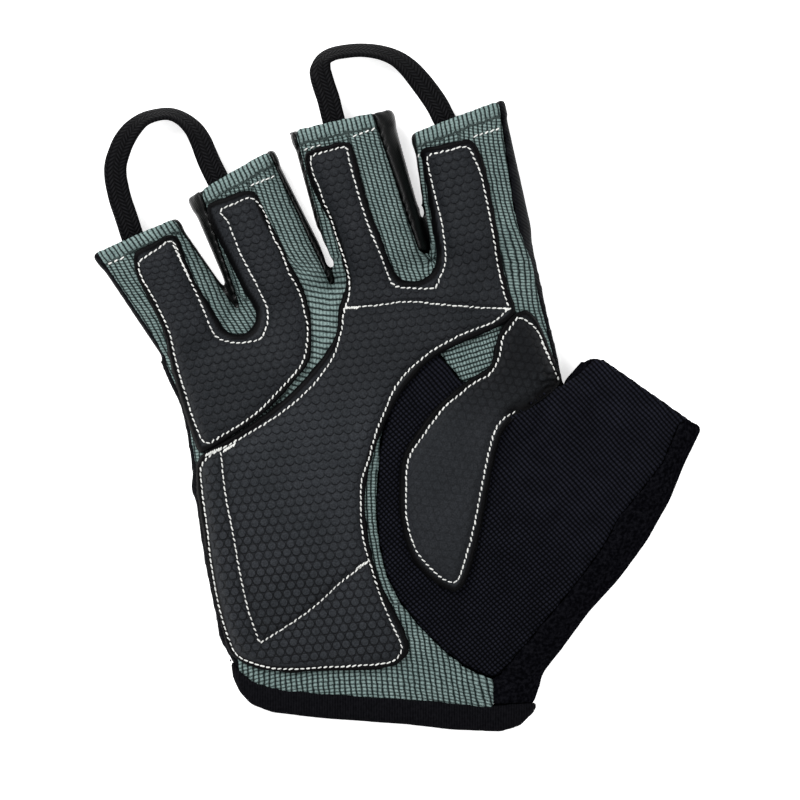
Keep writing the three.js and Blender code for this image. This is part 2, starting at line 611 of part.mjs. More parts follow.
const group = new THREE.Group();
group.add(piece('palm_panel', palmPanel(), knitGrey));
group.add(piece('back_panel', backPanel(), backCloth));
fingers.slice(1).forEach((finger, index) => {
  const name = `fourchette_${fingers[index].name}_${finger.name}`;
  group.add(piece(name, fourchette(fingers[index], finger), satinCloth));
});
group.add(piece('thumb_panel', thumbPanel(), knitBlack));
group.add(piece('thumb_side_panel', thumbSidePanel(), plushCloth));
group.add(piece('cuff_binding', cuffBinding(), bindingCloth));
group.add(piece('ring_little_pad', pad([
  prongOutline('little'), prongOutline('ring'), ringLittleBody.map(onPalm),
]), leather));
group.add(piece('palm_pad', pad([
  prongOutline('middle'), prongOutline('index'), palmBody.map(onPalm),
]), leather));
group.add(piece('thumb_pad', pad([thumbLeaf.map(onPalm)]), leather));
loopArches.forEach((arch) => group.add(piece(arch.name, pullLoop(arch), braidTape)));

export default group;
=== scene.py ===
import math

import bpy
import numpy as np
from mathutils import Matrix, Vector
from mathutils.bvhtree import BVHTree


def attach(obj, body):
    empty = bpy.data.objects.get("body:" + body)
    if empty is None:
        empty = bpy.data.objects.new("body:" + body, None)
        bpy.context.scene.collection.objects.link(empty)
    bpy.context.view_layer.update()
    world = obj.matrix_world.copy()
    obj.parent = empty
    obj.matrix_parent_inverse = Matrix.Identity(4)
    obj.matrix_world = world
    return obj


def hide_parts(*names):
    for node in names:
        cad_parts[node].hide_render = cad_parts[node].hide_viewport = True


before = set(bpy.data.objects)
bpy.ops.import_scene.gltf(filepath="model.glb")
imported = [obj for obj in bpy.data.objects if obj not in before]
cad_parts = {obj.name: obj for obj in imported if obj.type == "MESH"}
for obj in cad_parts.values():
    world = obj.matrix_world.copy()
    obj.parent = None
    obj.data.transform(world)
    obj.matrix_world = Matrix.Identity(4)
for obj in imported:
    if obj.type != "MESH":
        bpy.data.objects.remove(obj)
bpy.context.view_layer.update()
MM = 0.001

# The four half fingers, in millimetres and degrees: the middle of the root, the lean to the
# left, the length, the half widths at root and opening, and the turn of the hem.
FINGERS = {
    "little": dict(root=(-54.4, 18.7), lean=34.3, length=31.0, halves=(12.0, 11.8), turn=10.6),
    "ring": dict(root=(-31.4, 30.3), lean=25.1, length=34.2, halves=(13.8, 12.9), turn=-5.4),
    "middle": dict(root=(-5.7, 38.2), lean=15.3, length=38.8, halves=(13.8, 13.8), turn=2.9),
    "index": dict(root=(21.7, 43.9), lean=10.65, length=33.3, halves=(13.9, 12.7), turn=-10.1),
}
HEM_HEIGHT = 3.9

# Plan outlines of the leather pads and of the black knit's edge in the palm, in millimetres.
RING_LITTLE_EDGE = [
    (-72.1, 39.4), (-67, 42.4), (-61.6, 45.1), (-59.7, 43.7), (-58.1, 39.4), (-55.1, 32.1), (-51.8, 27),
    (-49.1, 22.4), (-47, 19.2), (-43.7, 17.8), (-40.5, 18.9), (-39.2, 21.6), (-39.4, 24.6), (-42.4, 29.4),
    (-45.9, 36.5), (-49.1, 42.7), (-51.6, 48.1), (-52.7, 52.1), (-50.8, 53.7), (-45.9, 55.4), (-41.3, 57),
    (-38.6, 55.9), (-37, 52.7), (-35.4, 49.1), (-32.1, 42.9), (-29.7, 37.3), (-26.7, 31.9), (-24.8, 27),
    (-23.8, 21.6), (-23.5, 16.5), (-24, 11.3), (-26.5, 7), (-32.4, 0.5), (-38.3, -5.1), (-47, -11.1),
    (-51.8, -13.8), (-54.5, -14), (-57, -8.1), (-59.7, 0.5), (-62.4, 10), (-64, 18.1), (-67.8, 26.5),
    (-71, 32.9),
]
PALM_EDGE = [
    (-54.8, -16.2), (-55.4, -19.2), (-54.8, -28.1), (-53.2, -38.1), (-50.8, -51.3), (-49.1, -58.9),
    (-47, -67), (-44.3, -70.2), (-38.9, -72.6), (-31.6, -73.7), (-18.9, -73.4), (-6.8, -72.9),
    (-0.5, -71.3), (2.7, -67.5), (1.6, -62.6), (-1.9, -55.4), (-5.4, -48.3), (-7.8, -39.2), (-8.9, -31.6),
    (-8.9, -23.5), (-7.3, -15.7), (-5.4, -10.3), (-2.4, -3.5), (1.6, 3.2), (8.1, 10.3), (14.3, 14),
    (21.1, 17), (27, 19.7), (30.8, 22.4), (31.3, 25.1), (29.4, 30), (27.5, 38.9), (25.9, 49.1),
    (24.6, 56.2), (23.2, 62.9), (20.8, 68.6), (18.4, 70.5), (12.2, 69.4), (5.7, 67.8), (5.7, 64.5),
    (6.5, 59.7), (7.3, 54.5), (8.6, 45.9), (9.7, 39.2), (8.9, 35.4), (6.5, 32.9), (3, 32.1), (0, 32.9),
    (-2.4, 37), (-5.1, 44.6), (-7, 48.9), (-8.9, 54.8), (-10.3, 59.9), (-11.6, 65.3), (-13.8, 69.9),
    (-20, 68.9), (-25.7, 67), (-25.9, 63.7), (-24.6, 58.9), (-21.9, 52.9), (-19.7, 48.9), (-18.1, 44.8),
    (-16.2, 38.6), (-14.9, 33.2), (-14.9, 30.2), (-16.2, 26.7), (-17, 22.7), (-17.3, 18.6), (-18.6, 15.4),
    (-21.1, 11.6), (-24.6, 7.3), (-31.3, 0.5), (-38.9, -5.4), (-46.4, -10.3), (-52.1, -13.5),
]
THUMB_EDGE = [
    (30.8, 23.5), (34.6, 24.3), (37, 22.1), (39.2, 17.6), (41.6, 11.6), (43.7, 5.7), (42.1, 2.7),
    (38.6, 0), (35.1, -2.4), (31.9, -4.6), (28.9, -7.3), (26.7, -12.2), (24.3, -23.2), (21.9, -35.4),
    (19.2, -45.9), (16.7, -50.8), (14.3, -51.8), (11.1, -50.5), (6.5, -47), (2.4, -41.6), (0, -32.9),
    (-0.5, -24.3), (0.5, -15.1), (4.3, -8.6), (7.6, -4.1), (11.1, -0.3), (15.1, 3.2), (19.2, 6.2),
    (23, 8.4), (24.6, 10.5), (25.1, 13.5), (26.2, 17.3), (28.1, 20.8),
]
THUMB_KNIT_EDGE = [
    (12.7, 12.2), (8.1, 7.6), (2.2, 0.5), (-1.6, -4.1), (-4.9, -8.6), (-5.7, -14.6), (-6.5, -20.5),
    (-6.5, -26.2), (-6.2, -32.1), (-5.4, -37.8), (-3.8, -45.6), (-0.5, -54.5), (5.7, -62.1), (11.9, -67.5),
    (17.6, -72.6), (24, -74.8),
]

# The lines that the grey knit's ribs run along, from each finger's opening down.
RIB_LINES = {
    "little, outer side": [
        (-82.1, 40.5), (-77, 31.1), (-69.9, 20.8), (-64, 8.9), (-59.7, 1.1), (-57.8, -4.3), (-56.4, -16.7),
    ],
    "little, inner side, and below the slit": [
        (-57.2, 55.1), (-52.7, 45.9), (-48.9, 37.3), (-44.3, 25.7), (-37.3, 14.9),
    ],
    "ring, outer side": [
        (-52.4, 59.4), (-48.1, 47.2), (-42.4, 30.2),
    ],
    "ring, inner side, and the valley below it": [
        (-32.1, 68), (-27.3, 54), (-22.7, 43.2), (-19.4, 37.3), (-17.8, 32.4), (-17, 27), (-16.7, 0),
    ],
    "middle, outer side": [
        (-27.8, 72.9), (-24.8, 60.8), (-21.6, 48.6), (-19.2, 38.9),
    ],
    "middle, inner side, and below the slit": [
        (-2.2, 77.8), (1.1, 65.3), (4.3, 54), (7.8, 42.7), (12.7, 27),
    ],
    "index, outer side": [
        (3.8, 74), (4.6, 67.5), (5.9, 54), (8.4, 42.4),
    ],
    "index, inner side": [
        (27.3, 81.5), (27.3, 72.4), (29.2, 62.4), (31.1, 52.7), (32.9, 43.2), (34.6, 35.4), (35.9, 30),
        (38.3, 21.1), (40.2, 16.7),
    ],
}
VALLEY = "ring, inner side, and the valley below it"
# The edge of the fold where the thumb's knit laps over its pad.
THUMB_FOLD = [
    (45.6, 5.7), (43.2, 3.8), (38.6, 0), (34.8, -2.4), (30.8, -4.1),
]

# The open slit between the ring and the middle finger, with the small drop at its foot.
SLIT_EDGE = [
    (-21.6, 46.6), (-20.6, 43.2), (-19.3, 40.6), (-18.6, 38.7), (-17.9, 37.9), (-17.7, 36.9), (-18, 35.8),
    (-19, 35.4), (-20, 35.8), (-20.3, 36.9), (-20.5, 38.1), (-21.1, 39.6), (-22, 42), (-23.3, 45.9),
]

# Lines of stitches in plan, in millimetres.
RING_LITTLE_SEAMS = [
    [
        (-70.5, 37.3), (-66.2, 40.2), (-61.6, 42.9), (-59.4, 38.3), (-57.2, 33.5), (-54.8, 28.4),
        (-52.7, 23.5), (-50, 17.6), (-47.2, 15.9), (-43.2, 15.4), (-38.1, 16.2), (-36.5, 18.1),
        (-35.6, 21.6), (-35.9, 25.1), (-38.9, 31.6), (-43.2, 40), (-46.4, 48.1), (-48.6, 51),
        (-44.6, 52.9), (-40.2, 54.5), (-37, 51.3), (-35.6, 47.8), (-34, 43.5), (-31.9, 39.7),
        (-30.2, 34.8), (-28.1, 31.1), (-26.7, 27.8), (-25.7, 23.5), (-24.8, 19.4), (-25.1, 14.9),
        (-25.7, 11.6), (-27.5, 8.1), (-33.5, 1.6), (-39.4, -4.1), (-47.8, -9.5), (-52.4, -11.6),
        (-55.1, -6.8), (-57.8, 1.6), (-60.5, 10.8), (-62.1, 18.1), (-65.9, 26.5), (-69.9, 33.5),
        (-70.5, 37.3),
    ],
]
PALM_SEAMS = [
    [
        (-14.9, 24.8), (-15.4, 21.6), (-15.7, 18.6), (-16.5, 15.9), (-17.6, 12.4), (-19.4, 9.2),
        (-21.9, 5.9), (-24.6, 2.7), (-31.3, -3), (-37.8, -7.3), (-46.2, -12.2), (-51, -14.9),
        (-53.5, -17.8), (-53.7, -20.5), (-52.9, -27.8), (-51.8, -35.6), (-51, -43.5), (-48.9, -55.4),
        (-46.4, -64), (-44, -68.9), (-38.9, -71.3), (-31.6, -72.6), (-21.1, -72.1), (-6.8, -71.3),
        (-1.6, -70.2), (0.5, -67.2), (-0.5, -64), (-4.9, -54), (-7.3, -46.4), (-9.5, -39.2),
        (-10.5, -31.6), (-10.5, -24.3), (-10, -20.2), (-8.4, -15.7), (-6.8, -9.7), (-4.6, -4.1),
        (-0.3, 4.9), (6.8, 11.9), (13.2, 15.9), (19.7, 18.9), (25.7, 21.3), (29.2, 24.6),
    ],
    [
        (-14.9, 24.8), (-6.8, 25.4), (2.2, 26.5), (10.8, 25.7), (22.7, 24.8), (29.2, 24.6),
    ],
    [
        (-48.3, -13.8), (-47, -25.4), (-45.1, -35.4), (-42.9, -47.8), (-40.8, -57), (-37.8, -65.6),
    ],
    [
        (-37.8, -65.6), (-31.6, -61.7), (-24, -56.4), (-15.9, -49.1), (-8.6, -43.5),
    ],
    [
        (-14.9, 24.8), (-13.8, 27.3), (-13.5, 30.8), (-14, 34.6), (-15.1, 38.6), (-17, 44), (-18.6, 49.1),
        (-20.5, 53.5), (-22.1, 58.3), (-23, 59.9), (-24, 64), (-23.8, 65.9), (-19.2, 67.2), (-14.6, 68.3),
        (-14, 65.9), (-12.7, 60.8), (-11.1, 55.1), (-8.6, 47.2), (-5.1, 38.6), (-3.2, 33.5), (-1.6, 30.8),
        (1.6, 30.2), (5.4, 30), (9.5, 30.2), (10.5, 32.4), (11.9, 35.4), (12.4, 38.9), (11.9, 44),
        (11.1, 49.1), (9.7, 54.5), (8.6, 59.1), (7.8, 62.9), (7.6, 65.9), (12.7, 67.2), (18.1, 68.3),
        (20, 65.1), (21.9, 60.5), (23.2, 54.5), (24.3, 48.9), (25.4, 42.9), (26.2, 37.3), (27.3, 32.1),
        (28.1, 28.6), (29.2, 25.1),
    ],
]
THUMB_SEAMS = [
    [
        (31.9, 22.4), (35.4, 20.5), (37.5, 17.8), (39.2, 13.8), (40.8, 10), (42.9, 5.1),
    ],
    [
        (31.9, 22.4), (28.4, 17.8), (27.5, 16.2), (27, 12.7), (25.7, 9.2), (24, 6.8), (20, 4.6),
        (16.2, 1.6), (12.4, -1.6), (9.2, -5.4), (6.2, -9.7), (2.4, -15.7), (1.6, -24.3), (1.9, -32.4),
        (4.1, -40), (7.8, -44.8), (12.2, -48.6), (15.1, -48.9), (16.7, -45.6), (19.7, -35.1),
        (22.1, -22.7), (24.6, -11.3), (27, -5.9), (31.3, -3),
    ],
]
HEM_STITCHES = [
    [(-79.1, 36.7), (-74.2, 38.6)],
    [(-40.5, 57.8), (-33.8, 60.5)],
    [(-26.2, 67.5), (-21.1, 68.9)],
    [(-13, 71), (-6.5, 73.4)],
    [(4.6, 65.9), (5.7, 66.2)],
    [(19.7, 71), (27, 73.4)],
]
DOUBLED_RUN = [
    [(-61.3, 41.9), (-59.1, 37.3), (-57, 32.7)],
    [(38.1, 15.7), (39.7, 12.4), (41, 9.2)],
]
# Short dense rows of thread that hold the ends of the seams.
BARTACKS = [
    [(-14.9, 24.8), (-11.1, 24.8)],
    [(-11.6, -45.1), (-8.6, -43.5)],
    [(-52.4, -14.9), (-50.5, -14), (-48.1, -13)],
    [(-47.5, -13.8), (-44.3, -11.9)],
    [(27.8, 24.8), (29.7, 24.3)],
]

# The pull loops: where each tape lies in plan and how high, in millimetres, and how far it is
# turned on its edge, in degrees. Both ends are sewn inside the finger openings.
LOOPS = {
    "pull_loop_little_ring": [
        (-68, 37.3, 10.3, 0), (-70.2, 40.5, 10.3, 0), (-72.1, 43.7, 10.2, 0), (-73.4, 47.5, 10, 0),
        (-74.5, 50.8, 9.6, 0), (-75.6, 54, 9, 0), (-76.4, 57.2, 8.4, 0), (-77, 60.5, 7.8, 5),
        (-77, 63.7, 7.2, 8), (-76.1, 67, 6.6, 14), (-74.8, 70.2, 6, 22), (-72.6, 73.4, 5.4, 36),
        (-69.7, 75.9, 5, 52), (-66.2, 77.2, 4.9, 60), (-62.4, 77.5, 4.9, 60), (-58.9, 76.1, 5, 52),
        (-55.9, 73.4, 5.4, 38), (-54, 70.2, 6.2, 22), (-52.7, 67, 7, 12), (-51.3, 63.7, 8, 6),
        (-49.7, 60.5, 9.2, 2), (-48.3, 57.8, 10, 0), (-46.4, 54.5, 10.4, 0), (-44.6, 51.3, 10.4, 0),
    ],
    "pull_loop_middle_index": [
        (-16.2, 68.6, 10.3, 0), (-17, 71.8, 10.3, 0), (-17.8, 75.1, 10.2, 0), (-18.6, 78.3, 9.6, 0),
        (-19.4, 81.5, 9, 0), (-20.5, 84.8, 8.2, 2), (-21.3, 87.5, 7.4, 8), (-21.6, 89.6, 6.6, 25),
        (-20.8, 92.1, 5.8, 50), (-18.4, 93.7, 5.2, 56), (-14.6, 94.5, 5, 56), (-10.3, 94.8, 5, 56),
        (-5.4, 94.2, 5, 52), (-1.1, 92.6, 5.2, 44), (2.4, 89.9, 5.8, 30), (5.4, 86.4, 6.8, 14),
        (7.8, 83.2, 7.8, 6), (10, 79.9, 9, 2), (11.6, 76.7, 10, 0), (13, 74, 10.4, 0), (14, 70.7, 10.4, 0),
    ],
}
TAPE_WIDTH = 6.2
TAPE_THICKNESS = 1.5

# The grey knit at its real size, in millimetres: ribs side by side, rows of loops along them. In
# the valley below the slit the ribs lie closer and the rows further apart.
RIB_PITCH = 1.27
ROW_PITCH = 0.87
HEM_RIB_PITCH = 1.24
BAND_PITCH = 1.45
VALLEY_PITCHES = (0.95, 1.5)
# The ribs of the thumb's knit, and the lanes and strands of the flat braid, at their real size.
THUMB_RIB = 1.08
BRAID_LANE = 1.6
BRAID_STRAND = 1.15
# The lines of the twill, the satin and the binding are about 0.4 mm apart in real cloth. They are
# drawn coarser, so that they show in a picture of the whole glove.
TWILL_PITCH = 0.95
SATIN_PITCH = 0.8
BINDING_RIB = 0.7
# The leather's net of round cells, at its real size.
CELL_PITCH = 2.55
CELL_NET = (CELL_PITCH, CELL_PITCH * math.sqrt(3), 1.0)

# Topstitching of bonded thread: lengths in millimetres, its slant in degrees, and the seed of its
# unevenness.
STITCH_PITCH = 1.55
STITCH_LENGTH = 1.32
STITCH_RADIUS = 0.23
STITCH_SLANT = 17
STITCH_SEED = 7
BARTACK_PITCH = 0.6

# Heights of the leather pads over the cloth: stuffed, in the flange outside the seam, and the
# gap under them. EDGE_ROUND is how far in from the cut edge the leather bends down.
PAD_HEIGHT = 2.1
FLANGE_HEIGHT = 1.5
SEAM_GAP = 0.25
EDGE_ROUND = 1.1

# Fineness of the cloth and leather meshes, and how far cloth stays above the floor.
SHELL_VOXEL = 0.85
PAD_VOXEL = 1.1
FLOOR_GAP = 0.02

# The padding's simulation: its steps, the furthest that a point may move, and how many times
# larger the pad is while it runs, because the solver is made for larger cloth.
PUFF_STEPS = 20
PUFF_LIMIT = 0.8
PUFF_SCALE = 5.0

# In metres: a height above all of the glove, from which rays look down, the width that the camera
# sees, and the height at which it sees that width. Its lens and film are in millimetres.
ABOVE = 0.1
VIEW_WIDTH = 0.216
VIEW_LEVEL = 0.014
LENS = 400
FILM = 36


def colour(hex_value):
    """An sRGB hex value as a linear colour."""
    parts = [int(hex_value[i:i + 2], 16) / 255 for i in (1, 3, 5)]
    return tuple(p / 12.92 if p <= 0.04045 else ((p + 0.055) / 1.055) ** 2.4 for p in parts) + (1,)


def node(tree, kind, inputs, output=0, **settings):
    """Adds one node with its settings, sets or links its inputs, and hands back its output.

    A slice as the output hands back a list of outputs."""
    made = tree.nodes.new("ShaderNode" + kind)
    for name, value in settings.items():
        setattr(made, name, value)
    for socket, value in (inputs if isinstance(inputs, dict) else dict(enumerate(inputs))).items():
        if isinstance(value, bpy.types.NodeSocket):
            tree.links.new(value, made.inputs[socket])
        else:
            made.inputs[socket].default_value = value
    return made.outputs[output]


def new_material(name, roughness, specular):
    """A material with its shader's plain numbers set. Its colour and bump are linked later."""
    material = bpy.data.materials.new(name)
    material.use_nodes = True
    shader = material.node_tree.nodes["Principled BSDF"]
    shader.inputs["Roughness"].default_value = roughness
    shader.inputs["Specular IOR Level"].default_value = specular
    return material, material.node_tree, shader


def finish_surface(tree, shader, base, height, depth):
    """Links a colour and a relief of so many millimetres to the shader."""
    normal = node(tree, "Bump", {"Height": height, "Distance": depth * MM, "Strength": 1.0})
    tree.links.new(base, shader.inputs["Base Color"])
    tree.links.new(normal, shader.inputs["Normal"])


def millimetres(tree):
    """Object coordinates in millimetres."""
    place = node(tree, "TexCoord", {}, "Object")
    return node(tree, "VectorMath", {0: place, "Scale": 1 / MM}, operation="SCALE")


def wave(tree, along):
    """Rises from 0 at whole numbers to 1 half way between them."""
    turned = node(tree, "Math", (along, math.pi), operation="MULTIPLY")
    swing = node(tree, "Math", (turned,), operation="SINE")
    return node(tree, "Math", (swing,), operation="ABSOLUTE")


def clouded(tree, place, size, dark, light, detail=2.0):
    """A colour that drifts between two in clouds about so many millimetres wide."""
    clouds = node(tree, "TexNoise", {"Vector": place, "Scale": 1 / size, "Detail": detail})
    return node(tree, "Mix", {0: clouds, 6: colour(dark), 7: colour(light)}, 2, data_type="RGBA")


def shaded(tree, height, low, high, dark, light):
    """A colour that goes softly from dark at a low height to light at a high one."""
    share = node(tree, "MapRange", {"Value": height, "From Min": low, "From Max": high},
                 interpolation_type="SMOOTHSTEP")
    return node(tree, "Mix", {0: share, 6: colour(dark), 7: colour(light)}, 2, data_type="RGBA")


def grey_knit():
    # Polyester mesh, warp knitted in ribs: rows of light loops with dark holes between them.
    # The weave attribute counts ribs and rows. Its third number is 1 in a hem, -1 in the valley.
    material, tree, shader = new_material("grey_warp_knit", 0.95, 0.02)
    weave = node(tree, "Attribute", {}, "Vector", attribute_name="weave")
    rib, row, zone = node(tree, "SeparateXYZ", (weave,), slice(0, 3))
    place = millimetres(tree)
    uneven = node(tree, "TexNoise", {"Vector": place, "Scale": 1 / 2, "Detail": 2.0})
    uneven = node(tree, "Math", (uneven, 0.5), operation="SUBTRACT")
    wobble = node(tree, "Math", (uneven, 0.5), operation="MULTIPLY")
    hem = node(tree, "Math", (zone, 0.0), operation="MAXIMUM")
    below = node(tree, "Math", (zone, -1.0), operation="MULTIPLY")
    valley = node(tree, "Math", (below, 0.0), operation="MAXIMUM")
    rib_depth = node(tree, "Math", (valley, -0.5, 0.95), operation="MULTIPLY_ADD")
    row_depth = node(tree, "Math", (valley, 0.2, 0.75), operation="MULTIPLY_ADD")
    row_depth = node(tree, "Math", (hem, -0.45, row_depth), operation="MULTIPLY_ADD")
    heights = []
    for count, depth, low, high in ((rib, rib_depth, 0.15, 0.9), (row, row_depth, 0.1, 0.95)):
        moved = node(tree, "Math", (count, wobble), operation="ADD")
        loop = node(tree, "MapRange", {"Value": wave(tree, moved), "From Min": low, "From Max": high},
                    interpolation_type="SMOOTHSTEP")
        groove = node(tree, "Math", (1.0, loop), operation="SUBTRACT")
        groove = node(tree, "Math", (depth, groove), operation="MULTIPLY")
        heights.append(node(tree, "Math", (1.0, groove), operation="SUBTRACT"))
    height = node(tree, "Math", heights, operation="MULTIPLY")
    fibres = node(tree, "TexNoise", {"Vector": place, "Scale": 1 / 0.42, "Detail": 1.0})
    twist = node(tree, "Math", (fibres, 1.9, 0.1), operation="MULTIPLY_ADD")
    light = node(tree, "Math", (height, twist), operation="MULTIPLY", use_clamp=True)
    yarn = clouded(tree, place, 7, "#667977", "#869996")
    base = node(tree, "Mix", {0: light, 6: colour("#030a0b"), 7: yarn}, 2, data_type="RGBA")
    finish_surface(tree, shader, base, height, 0.3)
    return material


def black_twill():
    # Nylon stretch cloth woven in a twill: black, with slanting lines that catch a little light.
    material, tree, shader = new_material("black_nylon_twill", 0.7, 0.05)
    place = millimetres(tree)
    x, y = node(tree, "SeparateXYZ", (place,), slice(0, 2))
    slant = node(tree, "Math", (x, 0.75), operation="MULTIPLY")
    slant = node(tree, "Math", (slant, y), operation="ADD")
    lines = wave(tree, node(tree, "Math", (slant, TWILL_PITCH), operation="DIVIDE"))
    clouds = node(tree, "TexNoise", {"Vector": place, "Scale": 1 / 3, "Detail": 2.0})
    share = node(tree, "Math", (lines, clouds), operation="MULTIPLY")
    base = node(tree, "Mix", {0: share, 6: colour("#030304"), 7: colour("#14161b")}, 2, data_type="RGBA")
    finish_surface(tree, shader, base, lines, 0.12)
    return material


def satin_side():
    # Elastane satin between the fingers: smooth and dark, with a soft streak of light on its bend.
    material, tree, shader = new_material("black_elastane_satin", 0.38, 0.2)
    x, y = node(tree, "SeparateXYZ", (millimetres(tree),), slice(0, 2))
    slant = node(tree, "Math", (x, 1.4), operation="MULTIPLY")
    slant = node(tree, "Math", (slant, y), operation="SUBTRACT")
    lines = wave(tree, node(tree, "Math", (slant, SATIN_PITCH), operation="DIVIDE"))
    base = node(tree, "Mix", {0: lines, 6: colour("#020303"), 7: colour("#070808")}, 2, data_type="RGBA")
    finish_surface(tree, shader, base, lines, 0.05)
    return material


def black_diamond_knit():
    # Polyester knit in two crossing slants: ribs toward the opening, small diamonds in the palm.
    material, tree, shader = new_material("black_diamond_knit", 0.9, 0.02)
    place = millimetres(tree)
    x, y = node(tree, "SeparateXYZ", (place,), slice(0, 2))
    uneven = node(tree, "TexNoise", {"Vector": place, "Scale": 1 / 9, "Detail": 2.0})
    wobble = node(tree, "Math", (uneven, 1.1), operation="MULTIPLY")
    slants = []
    for angle, pitch in ((42, THUMB_RIB), (-52, THUMB_RIB * 0.95)):
        east = node(tree, "Math", (x, math.cos(math.radians(angle)) / pitch), operation="MULTIPLY")
        north = node(tree, "Math", (y, math.sin(math.radians(angle)) / pitch), operation="MULTIPLY")
        along = node(tree, "Math", (east, north), operation="ADD")
        slants.append(wave(tree, node(tree, "Math", (along, wobble), operation="ADD")))
    outward = node(tree, "Math", (x, y), operation="ADD")
    ribbed = node(tree, "MapRange", {"Value": outward, "From Min": -25.0, "From Max": 25.0},
                  interpolation_type="SMOOTHSTEP")
    floor = node(tree, "Math", (ribbed, 0.42, 0.2), operation="MULTIPLY_ADD")
    cross = node(tree, "Math", (slants[1], floor), operation="MAXIMUM")
    height = node(tree, "Math", (slants[0], cross), operation="MULTIPLY")
    top = node(tree, "MapRange", {"Value": height, "From Min": 0.1, "From Max": 1.0},
               interpolation_type="SMOOTHSTEP")
    clouds = node(tree, "TexNoise", {"Vector": place, "Scale": 1 / 5, "Detail": 2.0})
    clouds = node(tree, "Math", (clouds, 1.0, 0.45), operation="MULTIPLY_ADD")
    share = node(tree, "Math", (top, clouds), operation="MULTIPLY")
    base = node(tree, "Mix", {0: share, 6: colour("#030304"), 7: colour("#1b1c24")}, 2, data_type="RGBA")
    finish_surface(tree, shader, base, height, 0.25)
    return material


def black_plush():
    # Cotton terry for wiping the brow: short loops, sheared soft, that swallow the light.
    material, tree, shader = new_material("black_cotton_plush", 1.0, 0.0)
    fluff = node(tree, "TexNoise", {"Vector": millimetres(tree), "Scale": 1 / 0.9, "Detail": 5.0})
    base = shaded(tree, fluff, 0.35, 0.75, "#040406", "#121216")
    finish_surface(tree, shader, base, fluff, 0.5)
    return material


def brushed_binding():
    # Elastic tape, brushed and folded round the wrist's edge: soft black with a faint fine rib.
    material, tree, shader = new_material("black_brushed_elastic", 0.95, 0.02)
    place = millimetres(tree)
    x = node(tree, "SeparateXYZ", (place,))
    ribs = wave(tree, node(tree, "Math", (x, BINDING_RIB), operation="DIVIDE"))
    ribs = node(tree, "Math", (ribs, 0.3), operation="MULTIPLY")
    pile = node(tree, "TexNoise", {"Vector": place, "Scale": 1 / 0.8, "Detail": 4.0})
    fluff = node(tree, "Math", (pile, 0.8, ribs), operation="MULTIPLY_ADD")
    base = shaded(tree, fluff, 0.3, 0.9, "#050507", "#101013")
    finish_surface(tree, shader, base, fluff, 0.2)
    return material


def nearest_cell(tree):
    """How far a point is from the middle of its leather cell, and how far above it."""
    lattice = node(tree, "Attribute", {}, "Vector", attribute_name="lattice")
    share = node(tree, "VectorMath", {0: lattice, 1: CELL_NET}, operation="DIVIDE")
    reaches, rises = [], []
    for offset in (0.0, 0.5):
        moved = node(tree, "VectorMath", {0: share, 1: (offset, offset, 0)}, operation="ADD")
        part = node(tree, "VectorMath", {0: moved}, operation="FRACTION")
        middle = node(tree, "VectorMath", {0: part, 1: (0.5, 0.5, 0)}, operation="SUBTRACT")
        flat = node(tree, "VectorMath", {0: middle, 1: (*CELL_NET[:2], 0)}, operation="MULTIPLY")
        reaches.append(node(tree, "VectorMath", {0: flat}, "Value", operation="LENGTH"))
        rises.append(node(tree, "SeparateXYZ", (flat,), 1))
    reach = node(tree, "Math", reaches, operation="MINIMUM")
    first = node(tree, "Math", reaches, operation="LESS_THAN")
    second = node(tree, "Math", (1.0, first), operation="SUBTRACT")
    rises[0] = node(tree, "Math", (rises[0], first), operation="MULTIPLY")
    rises[1] = node(tree, "Math", (rises[1], second), operation="MULTIPLY")
    return reach, node(tree, "Math", rises, operation="ADD")


def cell_grooves(tree, place, reach, rise, emboss, painted_arc_shade):
    """The groove round each cell, darkened as painted shade and patchy; where told, the painted shade stays
    only on each cell's lower side, in rows of arcs.
    """
    wall, past = [
        node(tree, "MapRange", {"Value": reach, "From Min": CELL_PITCH * low, "From Max": CELL_PITCH * high},
             interpolation_type="SMOOTHSTEP")
        for low, high in ((0.37, 0.44), (0.46, 0.53))]
    past = node(tree, "Math", (past, 0.6), operation="MULTIPLY")
    groove = node(tree, "Math", (wall, past), operation="SUBTRACT")
    # Painted shade: where told, each cell's groove stays dark only on its lower side, as if lit from above.
    upward = node(tree, "Math", (rise, reach), operation="DIVIDE")
    lower = node(tree, "MapRange", {"Value": upward, "From Min": 0.1, "From Max": -0.75},
                 interpolation_type="SMOOTHSTEP")
    upper = node(tree, "Math", (1.0, lower), operation="SUBTRACT")
    lost = node(tree, "Math", (painted_arc_shade, upper), operation="MULTIPLY")
    kept = node(tree, "Math", (1.0, lost), operation="SUBTRACT")
    groove = node(tree, "Math", (groove, kept), operation="MULTIPLY")
    patchy = node(tree, "TexNoise", {"Vector": place, "Scale": 1 / 6, "Detail": 2.0})
    patchy = node(tree, "Math", (patchy, 0.8, 0.6), operation="MULTIPLY_ADD", use_clamp=True)
    strength = node(tree, "Math", (emboss, patchy), operation="MULTIPLY")
    return node(tree, "Math", (groove, strength), operation="MULTIPLY")


